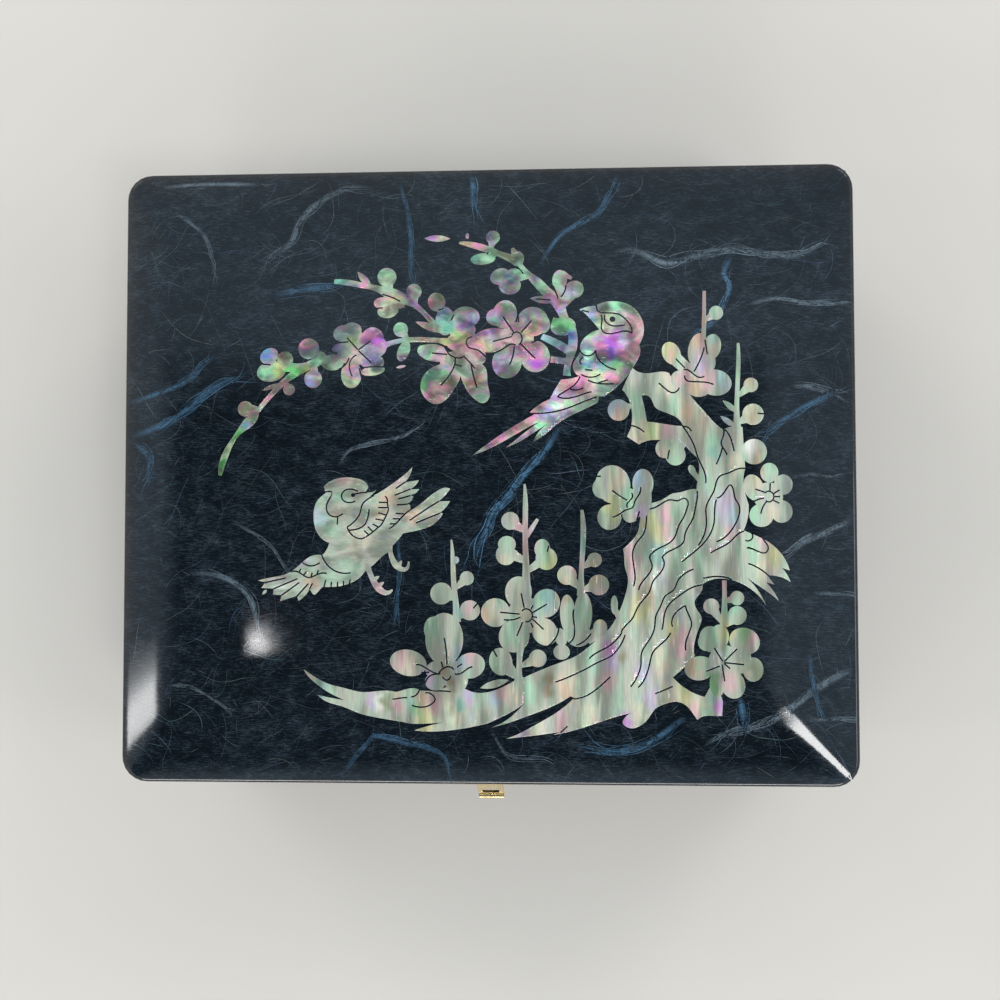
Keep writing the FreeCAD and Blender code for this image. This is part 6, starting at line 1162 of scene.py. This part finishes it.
def stuffed(bm, held, slack, cap):
    """Fills a closed velvet tube with Blender's Cloth: points with held(co) stay, and none moves past the cap."""
    scene = bpy.context.scene
    rescale(bm, MM)
    plain = mesh_of(bm, "stuffing")
    work = bpy.data.objects.new("stuffing", plain)
    scene.collection.objects.link(work)
    remesh = work.modifiers.new("remesh", "REMESH")
    remesh.mode = "VOXEL"
    remesh.voxel_size = sizes().velvet_voxel
    start = evaluated_mesh(work)
    work.modifiers.clear()
    work.data = start
    ends = work.vertex_groups.new(name="ends")
    ends.add([vert.index for vert in start.vertices if held(vert.co * PER_METRE)], 1.0, "REPLACE")
    cloth = work.modifiers.new("cloth", "CLOTH")
    cloth.settings.use_pressure = True
    cloth.settings.uniform_pressure_force = sizes().roll_pressure
    cloth.settings.shrink_min = cloth.settings.shrink_max = -slack
    cloth.settings.vertex_group_mass = "ends"
    cloth.settings.effector_weights.gravity = 0
    cloth.point_cache.frame_start, cloth.point_cache.frame_end = 1, CLOTH_FRAMES
    for number in range(1, CLOTH_FRAMES + 1):
        scene.frame_set(number)
    swollen = evaluated_mesh(work)
    scene.frame_set(1)
    full = bmesh.new()
    full.from_mesh(start)
    for vert, after in zip(full.verts, swollen.vertices):
        move = after.co - vert.co
        vert.co += move * min(1.0, cap * MM / max(move.length, 1e-9))
    bpy.data.objects.remove(work)
    for used in (plain, start, swollen):
        bpy.data.meshes.remove(used)
    rescale(full, PER_METRE)
    return full


class LACQUERBOX_OT_ring_cushion(bpy.types.Operator):
    """Make the padded ring bed and its velvet rolls"""
    bl_idname = "lacquer_box.ring_cushion"
    bl_label = "Ring cushion"

    def execute(self, context):
        bed = covered_card("ring_bed_pad", "ring_bed", "box", BED_ROUND, BED_PUFF)
        for number in range(1, 7):
            self.roll(number)
        return {"FINISHED"}

    def roll(self, number):
        node = "ring_roll_%d" % number
        low, high = node_box(node)
        radius = (high.z - low.z) / 2
        bm = bmesh.new()
        bmesh.ops.create_cone(bm, cap_ends=True, cap_tris=False, segments=32, radius1=radius, radius2=radius,
                              depth=high.x - low.x)
        bmesh.ops.rotate(bm, cent=(0, 0, 0), matrix=Matrix.Rotation(math.pi / 2, 3, "Y"), verts=bm.verts)
        middle = (low + high) / 2
        bmesh.ops.translate(bm, vec=middle, verts=bm.verts)
        ends = [edge for edge in bm.edges if abs(edge.verts[0].co.x - edge.verts[1].co.x) < 1e-4]
        round_off(bm, ends, ROLL_ROUND, 5)
        bmesh.ops.scale(bm, vec=(1, ROLL_START, ROLL_START), space=Matrix.Translation(-middle), verts=bm.verts)
        slack = ROLL_SLACK + SLACK_RANGE * noise.noise(Vector((number * 3.7, 0.5, 0.5)))
        bm = stuffed(bm, lambda co: min(co.x - low.x, high.x - co.x) < ROLL_HELD, slack, ROLL_CAP)
        for vert in bm.verts:
            out = Vector((0, vert.co.y - middle.y, vert.co.z - middle.z))
            over = min(1.0, radius * ROLL_MOST / max(out.length, 1e-6))
            vert.co.y = middle.y + out.y * over
            vert.co.z = middle.z + out.z * over
            vert.co.x = min(max(vert.co.x, low.x), high.x)
        bmesh.ops.recalc_face_normals(bm, faces=bm.faces)
        piece = finish_piece(bm, "ring_roll_%d_velvet" % number, "box", "velvet", [node], 60)
        smooth = piece.modifiers.new("smooth", "SUBSURF")
        smooth.levels = smooth.render_levels = 1


class LACQUERBOX_OT_mirror(bpy.types.Operator):
    """Make the velvet mirror frame and finish the glass and its backing"""
    bl_idname = "lacquer_box.mirror"
    bl_label = "Mirror"

    def execute(self, context):
        paint_node("mirror", "glass")
        paint_node("mirror_backing", "card")
        low, high = node_box("mirror_frame")
        glass_low, glass_high = node_box("mirror")
        sight = Vector((glass_high.x - FRAME_LAP, glass_high.y - FRAME_LAP))
        rebate = Vector((glass_high.x + FRAME_ROOM, glass_high.y + FRAME_ROOM))
        outside = Vector((high.x, high.y))
        ledge = glass_low.z - FRAME_ROOM
        rings = [(outside, low.z), (outside, high.z), (rebate, high.z), (rebate, ledge), (sight, ledge)]
        bm = bmesh.new()
        corners = [bm.verts.new((sight.x * x, sight.y * y, low.z)) for x, y in ((-1, -1), (1, -1), (1, 1), (-1, 1))]
        first = [bm.edges.new((corners[number], corners[(number + 1) % 4])) for number in range(4)]
        loop = first
        for half, height in rings:
            verts = set(extruded(bm, loop))
            for vert in verts:
                vert.co = (math.copysign(half.x, vert.co.x), math.copysign(half.y, vert.co.y), height)
            loop = [edge for edge in bm.edges if set(edge.verts) <= verts]
        bmesh.ops.bridge_loops(bm, edges=first + loop)
        bmesh.ops.recalc_face_normals(bm, faces=bm.faces)
        front = [edge for edge in bm.edges if edge.verts[0].co.z < low.z + 0.01 and edge.verts[1].co.z < low.z + 0.01
                 and (abs(edge.verts[0].co.x - edge.verts[1].co.x) < 0.01
                      or abs(edge.verts[0].co.y - edge.verts[1].co.y) < 0.01)]
        round_off(bm, front, FRAME_ROUND, 4)
        finish_piece(bm, "mirror_frame_velvet", "lid", "velvet", ["mirror_frame"])
        return {"FINISHED"}


class LACQUERBOX_OT_brass(bpy.types.Operator):
    """Finish the hinges, the clasp, the screws and the nails"""
    bl_idname = "lacquer_box.brass"
    bl_label = "Hinges and clasp"

    def execute(self, context):
        for name in frame["nodes"]:
            if name.startswith(("hinge_", "clasp_")):
                paint_node(name, "nails" if "nails" in name or "screws" in name else "brass")
        return {"FINISHED"}


class LACQUERBOX_OT_stage(bpy.types.Operator):
    """Set the table, the light and the camera"""
    bl_idname = "lacquer_box.stage"
    bl_label = "Stage"

    def execute(self, context):
        self.table()
        self.room(context.scene)
        self.lamps()
        self.camera(context.scene)
        context.scene.view_settings.view_transform = "Standard"
        return {"FINISHED"}

    def table(self):
        bm = bmesh.new()
        bmesh.ops.create_grid(bm, x_segments=24, y_segments=24, size=TABLE_HALF)
        mesh = mesh_of(bm, "table")
        mesh.materials.append(finish_of("floor"))
        table = bpy.data.objects.new("table", mesh)
        bpy.context.scene.collection.objects.link(table)

    def room(self, scene):
        """Pale walls and ceiling all round, dim straight above and in front of that, where a viewer stands."""
        world = bpy.data.worlds.new("soft_room")
        scene.world = world
        world.use_nodes = True
        tree = world.node_tree
        tree.nodes.clear()
        way = tree.nodes.new("ShaderNodeTexCoord").outputs["Generated"]

        def node(kind, inputs, **settings):
            return add_node(tree, kind, inputs, **settings)

        high = node("ShaderNodeSeparateXYZ", {0: way}).outputs["Z"]
        aside = node("ShaderNodeVectorMath", {0: way, 1: DIM_PLACE}, operation="ADD").outputs[0]
        aside = node("ShaderNodeVectorMath", {0: aside}, operation="ABSOLUTE").outputs[0]
        aside = node("ShaderNodeSeparateXYZ", {0: aside})
        across, along = (node("ShaderNodeMapRange", {"Value": aside.outputs[axis], "From Min": near, "From Max": far,
                                                     "To Min": DIM_LEVEL}, interpolation_type="SMOOTHSTEP").outputs[0]
                         for axis, near, far in DIM_SIDES)
        seen = node("ShaderNodeMath", {0: across, 1: along}, operation="MAXIMUM").outputs[0]
        room_level = scene.lacquer_box_stage.room_level
        level = node("ShaderNodeMath", {0: seen, 1: room_level}, operation="MULTIPLY").outputs[0]
        band = node("ShaderNodeValToRGB", {0: high})
        light = node("ShaderNodeBackground", {"Color": band.outputs[0], "Strength": level})
        node("ShaderNodeOutputWorld", {0: light.outputs[0]})
        fill_ramp(band.color_ramp, ROOM_TONES)

    def lamp(self, name, way, distance, size, power):
        """A rectangular lamp that faces the box from a direction."""
        data = bpy.data.lights.new(name, "AREA")
        data.shape = "RECTANGLE"
        data.size, data.size_y = size
        data.energy = power
        lamp = bpy.data.objects.new(name, data)
        spot = Vector(LAMP_AIM) + Vector(way).normalized() * distance
        lamp.matrix_world = Matrix.Translation(spot) @ Vector(way).to_track_quat("Z", "Y").to_matrix().to_4x4()
        bpy.context.scene.collection.objects.link(lamp)

    def lamps(self):
        key = bpy.context.scene.lacquer_box_stage.key_power
        for name, way, distance, size, share in LAMPS:
            self.lamp(name, way, distance, size, key * share)
        edge = PANES_FROM
        for number, (wide, light) in enumerate(PANES):
            way = (WINDOW_ASIDE, edge + wide / 2, WINDOW_HIGH)
            self.lamp("left_window_%d" % number, way, Vector(way).length, (wide, PANE_HIGH),
                      light * math.pi * wide * PANE_HIGH)
            edge += wide
        self.lamp("ceiling_lamp", (-0.2655, -0.0922, 0.9597), 2.04, (0.042, 0.03), 0.12)

    def camera(self, scene):
        data = bpy.data.cameras.new("camera")
        data.lens = scene.lacquer_box_stage.lens
        data.sensor_width = 36
        data.clip_start = 0.01
        camera = bpy.data.objects.new("camera", data)
        back = -Vector(CAMERA_AIM).normalized()
        right = Vector(CAMERA_UP).cross(back).normalized()
        turn = Matrix((right, back.cross(right), back)).transposed().to_4x4()
        camera.matrix_world = Matrix.Translation(CAMERA_PLACE) @ turn
        scene.collection.objects.link(camera)
        scene.camera = camera


class LACQUERBOX_PT_panel(bpy.types.Panel):
    """Sizes, colours and pieces of the keepsake box"""
    bl_idname = "LACQUERBOX_PT_panel"
    bl_label = "Keepsake box"
    bl_space_type = "VIEW_3D"
    bl_region_type = "UI"
    bl_category = "Keepsake box"

    def draw(self, context):
        for group in (context.scene.lacquer_box_sizes, context.scene.lacquer_box_colours,
                      context.scene.lacquer_box_stage):
            column = self.layout.column()
            for name in group.__annotations__:
                column.prop(group, name)
        for operator in OPERATORS:
            self.layout.operator(operator.bl_idname)


GROUPS = {
    "lacquer_box_sizes": LacquerBoxSizes,
    "lacquer_box_colours": LacquerBoxColours,
    "lacquer_box_stage": LacquerBoxStage,
}
OPERATORS = [
    LACQUERBOX_OT_stage,
    LACQUERBOX_OT_lid_skin,
    LACQUERBOX_OT_body_skin,
    LACQUERBOX_OT_fibres,
    LACQUERBOX_OT_shells,
    LACQUERBOX_OT_boards,
    LACQUERBOX_OT_linings,
    LACQUERBOX_OT_ring_cushion,
    LACQUERBOX_OT_mirror,
    LACQUERBOX_OT_brass,
]


def register():
    for each in (*GROUPS.values(), *OPERATORS, LACQUERBOX_PT_panel):
        bpy.utils.register_class(each)
    for name, group in GROUPS.items():
        setattr(bpy.types.Scene, name, PointerProperty(type=group))


def unregister():
    for name in GROUPS:
        delattr(bpy.types.Scene, name)
    for each in (LACQUERBOX_PT_panel, *reversed(OPERATORS), *GROUPS.values()):
        bpy.utils.unregister_class(each)


def main():
    register()
    for operator in OPERATORS:
        group, name = operator.bl_idname.split(".")
        getattr(getattr(bpy.ops, group), name)()


if __name__ == "__main__":
    main()
